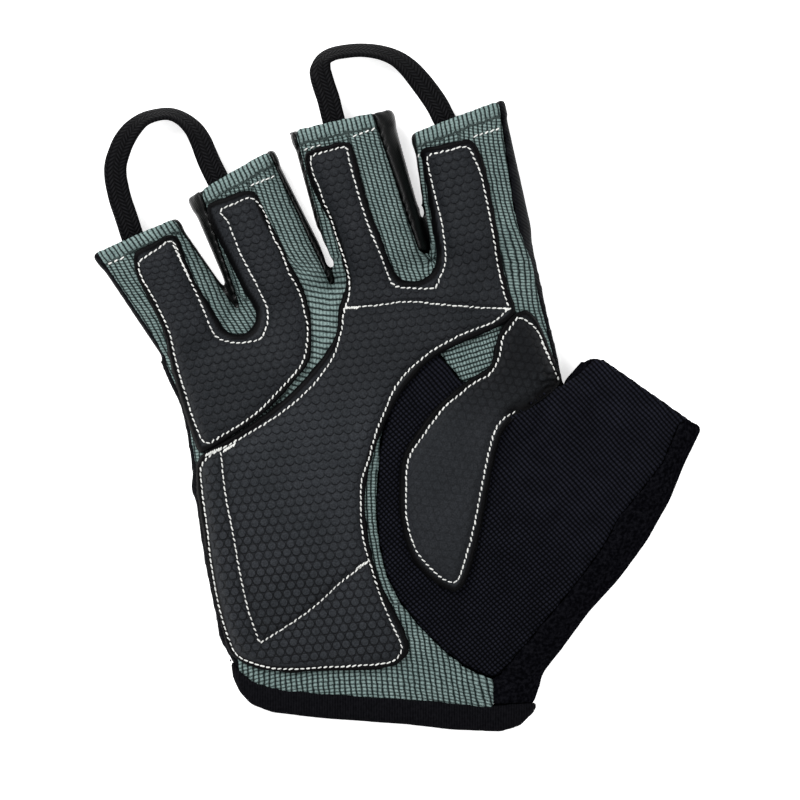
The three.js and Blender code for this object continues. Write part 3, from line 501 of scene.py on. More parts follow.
def pad_leather():
    # Synthetic leather rolled hot with a net of round cells: matt domes, with painted shade in the grooves
    # between.
    # Its attribute's numbers say how deep the emboss is, how much of the grooves' painted shade stays only on
    # each cell's lower side, and how dark the skin is, from its own tone and from painted shade.
    material, tree, shader = new_material("embossed_pad_leather", 0.6, 0.06)
    place = millimetres(tree)
    finish_and_shade = node(tree, "Attribute", {}, "Vector", attribute_name="finish_and_shade")
    emboss, painted_arc_shade, tone_and_shade = node(tree, "SeparateXYZ", (finish_and_shade,), slice(0, 3))
    reach, rise = nearest_cell(tree)
    groove = cell_grooves(tree, place, reach, rise, emboss, painted_arc_shade)
    grain = node(tree, "TexNoise", {"Vector": place, "Scale": 1 / 0.4, "Detail": 3.0})
    skin = clouded(tree, place, 13, "#212427", "#2e3034", 3.0)
    speck = node(tree, "MapRange", {"Value": grain, "From Min": 0.25, "From Max": 0.8},
                 interpolation_type="SMOOTHSTEP")
    speck = node(tree, "Mix", {0: speck, 6: (0.55, 0.55, 0.55, 1), 7: (1.4, 1.4, 1.4, 1)}, 2, data_type="RGBA")
    skin = node(tree, "Mix", {0: 1.0, 6: skin, 7: speck}, 2, data_type="RGBA", blend_type="MULTIPLY")
    # Painted shade along the seams, over the flange and by the fold, with the skin's own darker tone, mixed
    # toward near black.
    skin = node(tree, "Mix", {0: tone_and_shade, 6: skin, 7: colour("#030304")}, 2, data_type="RGBA")
    # Painted shade: the grooves between the cells are darkened in colour.
    base = node(tree, "Mix", {0: groove, 6: skin, 7: colour("#08090b")}, 2, data_type="RGBA")
    dome = node(tree, "Math", (reach, CELL_PITCH * 0.55), operation="DIVIDE")
    dome = node(tree, "Math", (dome, 3.0), operation="POWER")
    dome = node(tree, "Math", (1.0, dome), operation="SUBTRACT")
    dome = node(tree, "Math", (dome, emboss), operation="MULTIPLY")
    grain = node(tree, "Math", (grain, 0.2), operation="MULTIPLY")
    relief = node(tree, "Math", (dome, 0.8, grain), operation="MULTIPLY_ADD")
    finish_surface(tree, shader, base, relief, 0.35)
    return material


def white_thread():
    # Bonded polyester thread: white, twisted, slightly dulled by wear.
    material, tree, shader = new_material("white_polyester_thread", 0.6, 0.15)
    place = millimetres(tree)
    twist = node(tree, "TexNoise", {"Vector": place, "Scale": 1 / 0.2, "Detail": 2.0})
    finish_surface(tree, shader, clouded(tree, place, 2, "#b4b6b3", "#f2f2ee"), twist, 0.05)
    return material


def braided_tape():
    # Flat polyester braid: strands that cross from edge to edge in a herringbone.
    # The weave attribute gives how far across and along the tape a point is, in millimetres.
    material, tree, shader = new_material("black_braided_tape", 0.6, 0.05)
    weave = node(tree, "Attribute", {}, "Vector", attribute_name="weave")
    across, along = node(tree, "SeparateXYZ", (weave,), slice(0, 2))
    across = node(tree, "Math", (across, 10.0), operation="ADD")
    lanes = node(tree, "Math", (across, BRAID_LANE), operation="PINGPONG")
    lanes = node(tree, "Math", (lanes, 0.9), operation="MULTIPLY")
    slant = node(tree, "Math", (along, lanes), operation="ADD")
    strands = wave(tree, node(tree, "Math", (slant, BRAID_STRAND), operation="DIVIDE"))
    lane = wave(tree, node(tree, "Math", (across, BRAID_LANE), operation="DIVIDE"))
    lane = node(tree, "Math", (lane, 0.6, 0.4), operation="MULTIPLY_ADD")
    height = node(tree, "Math", (strands, lane), operation="MULTIPLY")
    base = shaded(tree, height, 0.2, 0.95, "#020203", "#131315")
    finish_surface(tree, shader, base, height, 0.35)
    return material


def light_table():
    # Matt white acrylic lit softly from below, as for catalogue pictures: it keeps shadows pale.
    material, tree, shader = new_material("white_light_table", 0.9, 0.1)
    acrylic = clouded(tree, millimetres(tree), 60, "#fbfbfb", "#ffffff")
    tree.links.new(acrylic, shader.inputs["Base Color"])
    shader.inputs["Emission Color"].default_value = (1, 1, 1, 1)
    shader.inputs["Emission Strength"].default_value = 0.6
    return material


def select_only(obj):
    bpy.ops.object.select_all(action="DESELECT")
    obj.select_set(True)
    bpy.context.view_layer.objects.active = obj


def apply_all(obj):
    """Applies all of an object's modifiers, in order."""
    select_only(obj)
    for modifier in list(obj.modifiers):
        bpy.ops.object.modifier_apply(modifier=modifier.name)


def points_of(obj):
    """A mesh's points in millimetres."""
    flat = np.empty(len(obj.data.vertices) * 3)
    obj.data.vertices.foreach_get("co", flat)
    return flat.reshape(-1, 3) / MM


def move_points(obj, points):
    obj.data.vertices.foreach_set("co", (points * MM).ravel())
    obj.data.update()


def keep_vectors(obj, name, values):
    """Stores a vector for each point of a mesh, for its material."""
    made = obj.data.attributes.new(name, "FLOAT_VECTOR", "POINT")
    made.data.foreach_set("vector", values.astype(np.float32).ravel())


def cut_out(name, outline, level, height):
    """A flat shape cut to a plan outline and made so thick, as an object."""
    bpy.ops.object.select_all(action="DESELECT")
    bpy.ops.mesh.primitive_circle_add(vertices=len(outline), radius=0.05, fill_type="NGON")
    made = bpy.context.object
    made.name = name
    move_points(made, np.column_stack([np.array(outline), np.full(len(outline), level)]))
    bpy.ops.object.mode_set(mode="EDIT")
    bpy.ops.mesh.select_all(action="SELECT")
    bpy.ops.mesh.extrude_region_move(TRANSFORM_OT_translate={"value": (0, 0, height * MM)})
    bpy.ops.mesh.select_all(action="SELECT")
    bpy.ops.mesh.normals_make_consistent(inside=False)
    bpy.ops.object.mode_set(mode="OBJECT")
    return made


def soften(obj, voxel, rounds):
    """Gives a piece a fine even mesh and smooths it, by modifiers that are applied later."""
    remesh = obj.modifiers.new("fine_mesh", "REMESH")
    remesh.mode = "VOXEL"
    remesh.voxel_size = voxel * MM
    remesh.use_smooth_shade = True
    relax = obj.modifiers.new("soft_edges", "SMOOTH")
    relax.factor = 0.5
    relax.iterations = rounds


def hand_over(piece, material, node_name=None):
    """Gives a finished piece its material and tells the frame what it is."""
    piece.data.materials.append(material)
    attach(piece, "root")
    if node_name:
        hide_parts(node_name)
    return piece


def smooth_line(points, step, closed=False):
    """Points so many millimetres apart on a smooth line through the given ones."""
    given = np.array(points, float)
    count = len(given)
    spans = count if closed else count - 1
    pieces = []
    for i in range(spans):
        pick = [(i + k) % count if closed else min(max(i + k, 0), count - 1) for k in (-1, 0, 1, 2)]
        a, b, c, d = given[pick]
        t = np.linspace(0, 1, 12, endpoint=False)[:, None]
        pieces.append(0.5 * (2 * b + (c - a) * t + (2 * a - 5 * b + 4 * c - d) * t ** 2
                             + (3 * b - a - 3 * c + d) * t ** 3))
    fine = np.vstack(pieces + [given[:1] if closed else given[-1:]])
    walked = np.concatenate([[0], np.cumsum(np.linalg.norm(np.diff(fine, axis=0), axis=1))])
    stops = np.linspace(0, walked[-1], max(2, int(round(walked[-1] / step)) + 1))
    line = np.column_stack([np.interp(stops, walked, fine[:, k]) for k in range(given.shape[1])])
    return line[:-1] if closed else line


def distance_to(points, line):
    """How far each plan point is from the nearest point of a line."""
    result = np.full(len(points), 1e9)
    for start in range(0, len(line), 200):
        gaps = points[:, None, :2] - line[None, start:start + 200, :2]
        result = np.minimum(result, np.sqrt((gaps ** 2).sum(2)).min(1))
    return result


def eased(value, low, high):
    """Goes smoothly from 0 at low to 1 at high."""
    share = np.clip((value - low) / (high - low), 0, 1)
    return share * share * (3 - 2 * share)


def bell(value, middle, width):
    """1 at the middle, fading to nothing on both sides."""
    return np.exp(-((value - middle) / width) ** 2)


def finger_place(points, finger):
    """How far along a finger, across it, and short of its hem each plan point is."""
    lean = math.radians(finger["lean"])
    dx, dy = points[:, 0] - finger["root"][0], points[:, 1] - finger["root"][1]
    along = -math.sin(lean) * dx + math.cos(lean) * dy
    across = math.cos(lean) * dx + math.sin(lean) * dy
    short = finger["length"] - across * math.tan(math.radians(finger["turn"])) - along
    return along, across, short


def open_slit(panel):
    """Cuts the slit between the ring and the middle finger through a panel's walls."""
    knife = cut_out("slit_knife", SLIT_EDGE, -5.0, 35)
    cut = panel.modifiers.new("slit", "BOOLEAN")
    cut.operation = "DIFFERENCE"
    cut.solver = "EXACT"
    cut.object = knife
    apply_all(panel)
    bpy.data.objects.remove(knife)


def dress_panel(node_name, name, material, rounds=8, swell_by=0.25, shape=None, slit=False):
    """A cloth panel: the CAD panel's own walls, meshed finely and smoothed to soft cloth."""
    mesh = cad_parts[node_name].data.copy()
    mesh.materials.clear()
    panel = bpy.data.objects.new(name, mesh)
    bpy.context.scene.collection.objects.link(panel)
    select_only(panel)
    bpy.ops.object.mode_set(mode="EDIT")
    bpy.ops.mesh.select_all(action="SELECT")
    bpy.ops.mesh.remove_doubles(threshold=0.00001)
    bpy.ops.object.mode_set(mode="OBJECT")
    if panel.data.has_custom_normals:
        bpy.ops.mesh.customdata_custom_splitnormals_clear()
    if slit:
        open_slit(panel)
    soften(panel, SHELL_VOXEL, rounds)
    swell = panel.modifiers.new("soft_pile", "DISPLACE")
    swell.strength = swell_by * MM
    swell.mid_level = 0
    apply_all(panel)
    if shape:
        shape(panel)
    points = points_of(panel)
    points[:, 2] = np.maximum(points[:, 2], FLOOR_GAP)
    move_points(panel, points)
    return hand_over(panel, material, node_name)


def in_valley(levels):
    """1 in the valley between the ring and the middle finger, 0 above it."""
    return 1 - eased(levels, 31, 39)


def rib_place(points, line, deep):
    """Counts ribs across and rows along a line that runs down the knit, for each plan point."""
    levels = np.arange(110, -110, -0.5)
    course = np.array(line, float)[np.argsort([p[1] for p in line])]
    x_at = np.interp(levels, course[:, 1], course[:, 0])
    for past, (a, b) in ((levels > course[-1, 1], (-1, -2)), (levels < course[0, 1], (0, 1))):
        slope = (course[b, 0] - course[a, 0]) / (course[b, 1] - course[a, 1])
        x_at[past] = course[a, 0] + slope * (levels[past] - course[a, 1])
    padded = np.pad(x_at, 6, mode="reflect", reflect_type="odd")
    x_at = np.convolve(padded, np.full(13, 1 / 13), mode="valid")
    slopes = np.gradient(x_at, levels)
    stretch = np.sqrt(1 + slopes ** 2)
    share = in_valley(levels) if deep else np.zeros(len(levels))
    across = RIB_PITCH * (1 - share) + VALLEY_PITCHES[0] * share
    up = ROW_PITCH * (1 - share) + VALLEY_PITCHES[1] * share
    rows = np.concatenate([[0], np.cumsum(-np.diff(levels) * (stretch / up)[1:])])
    order = levels[::-1]
    x, y = points[:, 0], points[:, 1]
    off = (x - np.interp(y, order, x_at[::-1])) / np.interp(y, order, stretch[::-1])
    return off / np.interp(y, order, across[::-1]), -np.interp(y, order, rows[::-1]) - 0.012 * off ** 2


def weave_palm(points):
    """The palm knit's ribs and rows: up each finger, down the valleys and along the wrist."""
    x, y = points[:, 0], points[:, 1]
    none = np.zeros(len(x))
    far = np.full(len(x), 1e9)
    weave = np.zeros((len(x), 3))
    for name, line in RIB_LINES.items():
        away = distance_to(points, smooth_line(line, 0.4))
        nearer = away < far
        far[nearer] = away[nearer]
        deep = name == VALLEY
        rib, row = rib_place(points, line, deep)
        weave[nearer] = np.column_stack([rib, row, -in_valley(y) if deep else none])[nearer]
    # The narrow strip of knit between the palm pad and the thumb's knit.
    from_thumb = distance_to(points, smooth_line(THUMB_KNIT_EDGE, 0.3))
    sliver = (from_thumb < 9) & (y > -62) & (y < 5) & (x < 8)
    weave[sliver] = np.column_stack([from_thumb / RIB_PITCH, y / ROW_PITCH, none])[sliver]
    # The small field between the palm pad and the thumb pad, whose ribs run across.
    patch = (x > 8) & (x < 31) & (y > 2) & (y < 24)
    tilt = math.radians(17)
    rise = (-x * math.sin(tilt) + y * math.cos(tilt)) / RIB_PITCH
    run = (x * math.cos(tilt) + y * math.sin(tilt)) / ROW_PITCH
    weave[patch] = np.column_stack([rise, run, none])[patch]
    # The band along the wrist, whose ribs fan out.
    band = (y < -62) | ((y < -55) & (x > -4))
    fan = (x - 4 + (0.10 + 0.0022 * (x + 20)) * (y + 76)) / BAND_PITCH
    weave[band] = np.column_stack([fan, (y + 0.004 * (x + 10) ** 2) / ROW_PITCH, none])[band]
    return weave


def roll_hems(points, weave):
    """Turns the knit's ribs at each finger's opening and rolls its hem."""
    z = points[:, 2]
    for finger in FINGERS.values():
        along, across, short = finger_place(points, finger)
        mine = (along > 0) & (np.abs(across) < finger["halves"][0] + 1.5)
        hem = 1 - eased(short, HEM_HEIGHT - 0.3, HEM_HEIGHT + 0.3)
        in_hem = mine & (hem > 0.5)
        weave[in_hem] = np.column_stack([across / HEM_RIB_PITCH, along / ROW_PITCH, hem])[in_hem]
        roll = bell(short, HEM_HEIGHT * 0.5, 1.3)
        crease = bell(short, HEM_HEIGHT + 0.2, 0.5)
        z += 0.35 * (roll - 0.9 * crease) * (mine & (z > 8))


def lay_knit(panel):
    """Gives the palm's knit its ribs and hems, and fits its edges to its neighbours."""
    points = points_of(panel)
    weave = weave_palm(points)
    roll_hems(points, weave)
    x, y, z = points.T
    # The strip beside the index finger is widest at its middle.
    border = np.array(RIB_LINES["index, inner side"])[::-1]
    border_x = np.interp(y, border[:, 1], border[:, 0])
    wider = 1.9 * bell(y, 38, 9) * (z > 5) * (y < 70)
    x += wider * eased(x, border_x - 7, border_x - 2.5)
    # The lower edge goes under the wrist's binding and the thumb's plush.
    y -= 1.2 * (1 - eased(y, -78, -70))
    x += 1.0 * eased(x, 20, 24) * (y < -60)
    # The foot of the slit between the middle and the index finger is drawn together.
    off = np.column_stack([x - 8.6, y - 38.1])
    reach = np.linalg.norm(off, axis=1)
    share = np.where(reach < 4, np.maximum(0, (reach - 1.5) / 2.5) * 4 / np.maximum(reach, 0.01), 1) - 1
    x += share * off[:, 0]
    y += share * off[:, 1]
    move_points(panel, np.column_stack([x, y, z]))
    keep_vectors(panel, "weave", weave)


def over_fold(points):
    """How far each plan point lies past the thumb's fold, and its share of the way along it."""
    line = smooth_line(THUMB_FOLD, 0.3)
    run = line[-1] - line[0]
    span = np.linalg.norm(run)
    run = run / span
    side = np.array([-run[1], run[0]])
    off = points[:, :2] - line[0]
    over = np.where(off @ side > 0, 1.0, -1.0) * distance_to(points, line)
    return over, off @ run / span, side


def round_corner(panel):
    """Rounds the thumb opening's upper corner."""
    points = points_of(panel)
    corner = np.array([52.1, 12.4])
    left, up = np.array([-0.72, 0.69]), np.array([0.58, 0.81])
    radius = 3.0
    off = points[:, :2] - corner
    a, b = radius + off @ left, radius + off @ up
    reach = np.hypot(np.maximum(a, 0), np.maximum(b, 0))
    past = (a > 0) & (b > 0) & (reach > radius) & (np.linalg.norm(off, axis=1) < 8)
    pull = (1 - radius / np.maximum(reach, radius))[:, None] * past[:, None]
    points[:, :2] -= pull * (a[:, None] * left + b[:, None] * up)
    move_points(panel, points)


def lap_thumb(panel):
    """Lifts the thumb's knit into a fold that laps over the end of the thumb pad."""
    round_corner(panel)
    points = points_of(panel)
    over, share, side = over_fold(points)
    ends = eased(share, -0.25, 0.1) * (1 - eased(share, 0.9, 1.3))
    lift = eased(over, -0.4, 1.0) * (1 - eased(over, 3.5, 17)) * ends
    points[:, 2] += 3.3 * lift
    points[:, :2] -= side * (1.0 * lift * bell(over, 0, 2.5))[:, None]
    move_points(panel, points)


def join_back(panel):
    """Carries the back's lower edge under the binding, and lets its outer edge bulge twice."""
    round_corner(panel)
    points = points_of(panel)
    points[:, 1] -= 1.4 * (1 - eased(points[:, 1], -78, -70))
    points[:, 0] += 0.9 * eased(points[:, 0], 18, 24) * (points[:, 1] < 0)
    bulge = 1.3 * bell(points[:, 1], -64.8, 4.4) + 0.8 * bell(points[:, 1], -23.8, 3)
    points[:, 0] -= bulge * (1 - eased(points[:, 0], -50, -36))
    move_points(panel, points)


def tuck_under(panel):
    """Keeps the foot of the middle and index fingers' side strip below the palm's knit."""
    points = points_of(panel)
    points[:, 2] -= 3.0 * (1 - eased(points[:, 1], 38.0, 40.0))
    move_points(panel, points)


def palm_knit():
    return dress_panel("palm_panel", "palm_knit", grey_knit(), shape=lay_knit, slit=True)


def back_cloth():
    return dress_panel("back_panel", "back_cloth", black_twill(), shape=join_back, slit=True)


def thumb_knit():
    return dress_panel("thumb_panel", "thumb_knit", black_diamond_knit(), shape=lap_thumb)


def thumb_plush():
    return dress_panel("thumb_side_panel", "thumb_plush", black_plush(), swell_by=0.55,
                       shape=round_corner)


def finger_sides():
    """The three satin strips between the fingers."""
    satin = satin_side()
    return [dress_panel(f"fourchette_{pair}", f"side_{pair}", satin,
                        shape=tuck_under if pair == "middle_index" else None, slit=pair == "ring_middle")
            for pair in ("little_ring", "ring_middle", "middle_index")]


def wrist_binding():
    return dress_panel("cuff_binding", "cuff_edge", brushed_binding(), rounds=3)


def around(grid):
    """Each point of a grid with its eight neighbours, stacked."""
    return np.stack([np.roll(grid, (a, b), (0, 1)) for a in (-1, 0, 1) for b in (-1, 0, 1)])


def height_map(panels):
    """The height of the cloth under each plan point, without its seams and folds."""
    corners, faces = [], []
    for panel in panels:
        start = len(corners)
        corners.extend(v.co.copy() for v in panel.data.vertices)
        faces.extend([start + i for i in p.vertices] for p in panel.data.polygons)
    tree = BVHTree.FromPolygons(corners, faces)
    xs, ys = np.arange(-90, 92, 1.0), np.arange(-95, 100, 1.0)
    grid = np.full((len(xs), len(ys)), np.nan)
    down = Vector((0, 0, -1))
    for i, x in enumerate(xs):
        for j, y in enumerate(ys):
            hit = tree.ray_cast(Vector((x * MM, y * MM, ABOVE)), down)[0]
            if hit is not None and hit.z > 0.006:
                grid[i, j] = hit.z / MM
    for _ in range(14):
        near = around(grid)
        known = ~np.isnan(near)
        mean = np.where(known, near, 0).sum(0) / np.maximum(1, known.sum(0))
        grid = np.where(np.isnan(grid) & known.any(0), mean, grid)
    grid = np.where(np.isnan(grid), 8.0, grid)
    for _ in range(3):
        grid = around(grid).mean(0)

    def look_up(points):
        i = np.clip((points[:, 0] - xs[0]), 0, len(xs) - 1.001)
        j = np.clip((points[:, 1] - ys[0]), 0, len(ys) - 1.001)
        a, b = i.astype(int), j.astype(int)
        s, t = i - a, j - b
        return ((grid[a, b] * (1 - s) + grid[a + 1, b] * s) * (1 - t)
                + (grid[a, b + 1] * (1 - s) + grid[a + 1, b + 1] * s) * t)
    return look_up


def puff(pad, held):
    """Lets the padding swell under the leather, held down at its seams, by a short simulation."""
    start = points_of(pad)
    group = pad.vertex_groups.new(name="held")
    for index, weight in enumerate(held):
        if weight > 0.02:
            group.add([index], float(weight), "REPLACE")
    move_points(pad, start * PUFF_SCALE)
    cloth = pad.modifiers.new("padding", "CLOTH")
    cloth.settings.quality = 4
    cloth.settings.mass = 0.3
    cloth.settings.vertex_group_mass = "held"
    cloth.settings.use_pressure = True
    cloth.settings.uniform_pressure_force = 4
    cloth.settings.effector_weights.gravity = 0
    cloth.collision_settings.use_collision = False
    scene = bpy.context.scene
    for step in range(1, PUFF_STEPS + 1):
        scene.frame_set(step)
    swollen = pad.evaluated_get(bpy.context.evaluated_depsgraph_get())
    flat = np.empty(len(start) * 3)
    swollen.data.vertices.foreach_get("co", flat)
    moved = flat.reshape(-1, 3) / MM / PUFF_SCALE - start
    far = np.linalg.norm(moved, axis=1)[:, None]
    moved *= np.minimum(1, PUFF_LIMIT / np.maximum(far, 1e-6))
    pad.modifiers.remove(cloth)
    scene.frame_set(1)
    pad.vertex_groups.clear()
    move_points(pad, start + moved)


def sew_down(points, from_edge, from_seam):
    """Presses the pad's top down at its seams and flange and rounds its cut edge."""
    top = eased(points[:, 2], 0.45 * PAD_HEIGHT, 0.95 * PAD_HEIGHT)
    inner = eased(from_edge, 2.2, 4.5) * eased(from_seam, 0.2, 2.2)
    points[:, 2] -= top * ((PAD_HEIGHT - FLANGE_HEIGHT) * (1 - inner))
    points[:, 2] -= top * 0.75 * bell(from_seam, 0, 0.55)
    points[:, 2] -= top * 0.9 * (1 - eased(from_edge, 0, EDGE_ROUND)) ** 2
    points[:, 2] += top * 0.12 * np.sin(points[:, 0] * 0.5 + 1.3 * np.sin(points[:, 1] * 0.31))
    return top


def mark_leather(pad, points, finish_and_shade, from_edge, from_seam):
    """Keeps where the emboss's cells lie, and how the leather looks with painted shade along its seams and
    over its flange, for its material.
    """
    emboss, painted_arc_shade, tone_and_shade, tilt = finish_and_shade(points)
    turn = np.radians(tilt)
    across, up = points[:, 0], points[:, 1] - 25
    keep_vectors(pad, "lattice", np.column_stack([
        across * np.cos(turn) + up * np.sin(turn), up * np.cos(turn) - across * np.sin(turn), 0 * up]))
    # Painted shade: the flange outside the seam, and a band along each seam, are darkened in colour.
    flange = 1 - eased(from_edge, 1.5, 2.2)
    painted_seam_shade = 0.4 * bell(from_seam, 0, 1.1)
    emboss = emboss * eased(from_edge, 2.0, 3.0) * eased(from_seam, 0.4, 0.9)
    keep_vectors(pad, "finish_and_shade", np.column_stack([
        emboss, painted_arc_shade, np.maximum(np.maximum(tone_and_shade, painted_seam_shade), flange)]))


def leather_pad(name, node_name, outline, seams, cloth_height, material, finish_and_shade, crumple=None):
    """A padded leather piece: cut to its outline, stuffed, sewn down and embossed."""
    edge = smooth_line(outline, 0.8, closed=True)
    sewn = np.vstack([smooth_line(seam, 0.4, closed=seam[0] == seam[-1]) for seam in seams])
    pad = cut_out(name, edge, SEAM_GAP, PAD_HEIGHT)
    soften(pad, PAD_VOXEL, 2)
    apply_all(pad)
    points = points_of(pad)
    top = eased(points[:, 2], 0.6 * PAD_HEIGHT, 0.95 * PAD_HEIGHT)
    loose = eased(distance_to(points, sewn), 0.8, 3.0) * eased(distance_to(points, edge), 2.4, 4.5)
    puff(pad, np.clip(1 - top * loose, 0, 1))
    finer = pad.modifiers.new("fine_leather", "SUBSURF")
    finer.levels = 1
    finer.render_levels = 1
    apply_all(pad)
    points = points_of(pad)
    from_edge = distance_to(points, edge)
    from_seam = distance_to(points, sewn)
    top = sew_down(points, from_edge, from_seam)
    points[:, 2] += cloth_height(points)
    if crumple:
        points[:, 2] += top * crumple(points)
    move_points(pad, points)
    mark_leather(pad, points, finish_and_shade, from_edge, from_seam)
    hand_over(pad, material, node_name)
    return pad


def palm_finish_and_shade(points):
    """Full cells low in the palm; toward the fingers their grooves keep painted shade only on each cell's
    lower side, in rows of arcs, and the skin grows darker.
    """
    x, y = points[:, 0], points[:, 1]
    arc_zone = eased(0.6 * x + 0.8 * y, -58, -24)
    return 1 - 0.1 * arc_zone, 0.85 * arc_zone, 0.33 * eased(y, -12, 15), 7 + 8 * eased(y, 24, 46)


def ring_little_finish_and_shade(points):
    """Grooves keep painted shade only on each cell's lower side, in rows of arcs, all over."""
    y = points[:, 1]
    return np.full(len(y), 0.9), 0.7 + 0 * y, 0.25 + 0 * y, 11 + 6 * eased(y, 20, 45)


def thumb_finish_and_shade(points):
    """Nearly smooth low down and darker toward the top, with painted shade along the fold, painted shade in
    the creases and painted highlight on their ridges.
    """
    y = points[:, 1]
    over, share, _ = over_fold(points)
    # Painted shade beside the fold, where the thumb's knit laps over the pad.
    painted_fold_shade = bell(over, 0, 2.4) * eased(share, -0.2, 0.3)
    # Painted shade in the creases' troughs and painted highlight on their ridges.
    tone_and_shade = np.clip(0.25 + 0.45 * eased(y, -12, 12) + 0.7 * painted_fold_shade - 0.6 * creases(points), 0, 1)
    return 0.3 + 0.5 * eased(y, -8, 8), 0 * y, tone_and_shade, np.full(len(y), -8.0)


def creases(points):
    """Creases that fan out over the thumb pad from the corner of the fold."""
    dx, dy = points[:, 0] - 45.5, points[:, 1] - 1.0
    reach = np.hypot(dx, dy)
    fan = np.arctan2(dy, -dx) + 0.25 * np.sin(reach * 0.9)
    return 0.32 * np.sin(fan * 17) * bell(reach, 7, 4) * eased(fan, -0.35, 0.1)


def creases_at_fold(points):
    """The creases in the leather, and the dip beside the fold."""
    over, share, _ = over_fold(points)
    return creases(points) - 1.3 * bell(over, 0, 2.4) * eased(share, -0.2, 0.3)


def ring_little_pad(cloth_height, leather):
    return leather_pad("ring_little_leather", "ring_little_pad", RING_LITTLE_EDGE, RING_LITTLE_SEAMS,
                       cloth_height, leather, ring_little_finish_and_shade)


def palm_pad(cloth_height, leather):
    return leather_pad("palm_leather", "palm_pad", PALM_EDGE, PALM_SEAMS, cloth_height, leather, palm_finish_and_shade)


def thumb_pad(cloth_height, leather):
    return leather_pad("thumb_leather", "thumb_pad", THUMB_EDGE, THUMB_SEAMS, cloth_height, leather,
                       thumb_finish_and_shade, crumple=creases_at_fold)


def one_stitch():
    """A single stitch: a short rounded bead of thread, made once and copied along each seam."""
    bpy.ops.object.select_all(action="DESELECT")
    bpy.ops.mesh.primitive_uv_sphere_add(segments=6, ring_count=5, radius=1.0)
    bead = bpy.context.object
    points = points_of(bead) * MM
    # The sphere's faces come in no fixed order, so they are sorted.
    faces = sorted(tuple(p.vertices) for p in bead.data.polygons)
    bpy.data.objects.remove(bead)
    points[:, 2] = np.sign(points[:, 2]) * np.abs(points[:, 2]) ** 0.6
    return points[:, [2, 0, 1]], faces


def sew(name, lines, under, material, pitch=STITCH_PITCH, slant_by=STITCH_SLANT):
    """A run of slanting stitches along each line, laid on the piece under it."""
    bead, bead_faces = one_stitch()
    tree = BVHTree.FromPolygons([v.co.copy() for v in under.data.vertices],
                                [tuple(p.vertices) for p in under.data.polygons])
    rng = np.random.default_rng(STITCH_SEED)
    points, faces = [], []
    for line in lines:
        stops = smooth_line(line, pitch)
        for a, b in zip(stops[:-1], stops[1:]):
            middle = (a + b) / 2
            start = Vector((middle[0] * MM, middle[1] * MM, ABOVE))
            hit, normal = tree.ray_cast(start, Vector((0, 0, -1)))[:2]
            if hit is None:
                continue
            slant = math.radians(slant_by + rng.normal(0, 6))
            run = (b - a) / np.linalg.norm(b - a)
            run = np.array([run[0] * math.cos(slant) - run[1] * math.sin(slant),
                            run[0] * math.sin(slant) + run[1] * math.cos(slant), 0])
            up = np.array(normal)
            run -= up * run.dot(up)
            run /= np.linalg.norm(run)
            side = np.cross(up, run)
            half = STITCH_LENGTH / 2 * rng.uniform(0.85, 1.15)
            wide = STITCH_RADIUS * rng.uniform(0.85, 1.15)
            placed = (np.array(hit) / MM + up * (wide * 0.5)
                      + bead[:, :1] * run * half + bead[:, 1:2] * side * wide + bead[:, 2:] * up * wide)
            first = len(points) * len(bead)
            points.append(placed)
            faces.extend(tuple(first + i for i in face) for face in bead_faces)
    mesh = bpy.data.meshes.new(name)
    mesh.from_pydata((np.vstack(points) * MM).tolist(), [], faces)
    mesh.shade_smooth()
    seam = bpy.data.objects.new(name, mesh)
    bpy.context.scene.collection.objects.link(seam)
    return hand_over(seam, material)


def topstitching(palm, ring_little, palm_leather, thumb_leather):
    """All the white thread: the pads' seams, the hems, the doubled runs and the bartacks."""
    thread = white_thread()
    sew("ring_little_stitches", RING_LITTLE_SEAMS, ring_little, thread)
    sew("palm_stitches", PALM_SEAMS, palm_leather, thread)
    sew("thumb_stitches", THUMB_SEAMS, thumb_leather, thread)
    sew("hem_stitches", HEM_STITCHES, palm, thread)
    sew("doubled_stitches_ring_little", DOUBLED_RUN[:1], ring_little, thread, slant_by=30)
    sew("doubled_stitches_thumb", DOUBLED_RUN[1:], thumb_leather, thread, slant_by=50)
    sew("bartacks", BARTACKS, palm_leather, thread, pitch=BARTACK_PITCH, slant_by=40)


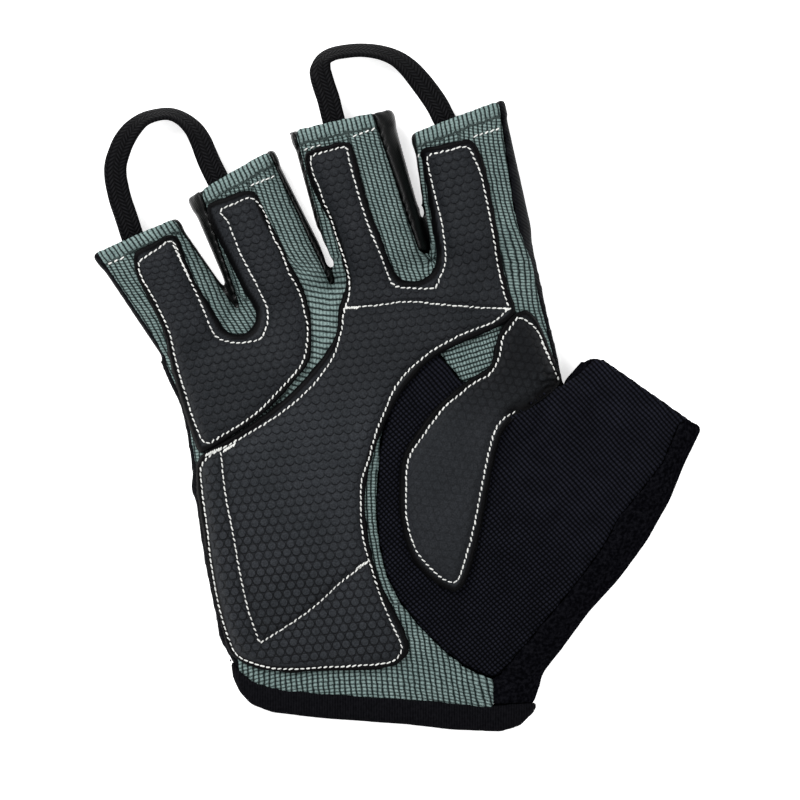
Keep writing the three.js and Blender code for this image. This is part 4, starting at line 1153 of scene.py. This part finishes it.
def pull_loop(name, node_name, route, material):
    """Flat braided tape that turns on its edge as it bends round."""
    line = smooth_line(route, 0.6)
    ahead = np.gradient(line[:, :3], axis=0)
    ahead /= np.linalg.norm(ahead, axis=1)[:, None]
    rings, weave = [], []
    walked = np.concatenate([[0], np.cumsum(np.linalg.norm(np.diff(line[:, :3], axis=0), axis=1))])
    sides = 20
    for place, run, turn, far in zip(line[:, :3], ahead, np.radians(line[:, 3]), walked):
        level = np.cross(run, (0, 0, 1))
        level /= np.linalg.norm(level)
        up = np.cross(level, run)
        across = level * math.cos(turn) + up * math.sin(turn)
        face = np.cross(across, run)
        for k in range(sides):
            angle = 2 * math.pi * k / sides
            u = math.copysign(abs(math.cos(angle)) ** 0.55, math.cos(angle)) * TAPE_WIDTH / 2
            v = math.copysign(abs(math.sin(angle)) ** 0.8, math.sin(angle)) * TAPE_THICKNESS / 2
            rings.append(place + across * u + face * v)
            weave.append((u, far, 0))
    count = len(line)
    faces = []
    for start in range(0, (count - 1) * sides, sides):
        for k, n in zip(range(sides), [*range(1, sides), 0]):
            faces.append((start + k, start + n, start + sides + n, start + sides + k))
    faces += [tuple(range(sides))[::-1], tuple((count - 1) * sides + k for k in range(sides))]
    mesh = bpy.data.meshes.new(name)
    mesh.from_pydata((np.array(rings) * MM).tolist(), [], faces)
    loop = bpy.data.objects.new(name, mesh)
    bpy.context.scene.collection.objects.link(loop)
    select_only(loop)
    bpy.ops.object.mode_set(mode="EDIT")
    bpy.ops.mesh.select_all(action="SELECT")
    bpy.ops.mesh.normals_make_consistent(inside=False)
    bpy.ops.object.mode_set(mode="OBJECT")
    loop.data.shade_smooth()
    keep_vectors(loop, "weave", np.array(weave))
    return hand_over(loop, material, node_name)


def pull_loops():
    tape = braided_tape()
    for node_name, route in LOOPS.items():
        pull_loop(node_name.replace("pull_", "braid_"), node_name, route, tape)


def studio():
    """A pale floor, soft lights from the sides, and a long lens straight above the palm."""
    bpy.ops.object.select_all(action="DESELECT")
    bpy.ops.mesh.primitive_plane_add(size=6)
    floor = bpy.context.object
    floor.name = "studio_floor"
    floor.data.materials.append(light_table())
    world = bpy.data.worlds.new("studio")
    bpy.context.scene.world = world
    world.use_nodes = True
    world.node_tree.nodes["Background"].inputs["Color"].default_value = (1, 1, 1, 1)
    world.node_tree.nodes["Background"].inputs["Strength"].default_value = 0.45
    for name, place, size, power in (("key", (-0.75, 0.9, 1.1), 0.7, 26), ("fill", (0.9, -0.1, 1.2), 0.9, 8),
                                     ("low", (0.1, -1.0, 1.0), 0.9, 4)):
        light = bpy.data.lights.new(name, "AREA")
        light.size = size
        light.energy = power
        lamp = bpy.data.objects.new(name, light)
        bpy.context.scene.collection.objects.link(lamp)
        lamp.location = place
        lamp.rotation_euler = (-Vector(place)).to_track_quat("-Z", "Y").to_euler()
    lens = bpy.data.cameras.new("camera")
    lens.lens = LENS
    lens.sensor_width = FILM
    lens.clip_end = 10
    camera = bpy.data.objects.new("camera", lens)
    bpy.context.scene.collection.objects.link(camera)
    camera.location = (0, 0, VIEW_LEVEL + VIEW_WIDTH * LENS / FILM)
    bpy.context.scene.camera = camera
    bpy.context.scene.view_settings.view_transform = "Standard"


studio()
palm = palm_knit()
ground = height_map([palm, back_cloth(), thumb_knit(), thumb_plush()] + finger_sides())
wrist_binding()
leather = pad_leather()
pads = [make_pad(ground, leather) for make_pad in (ring_little_pad, palm_pad, thumb_pad)]
topstitching(palm, *pads)
pull_loops()
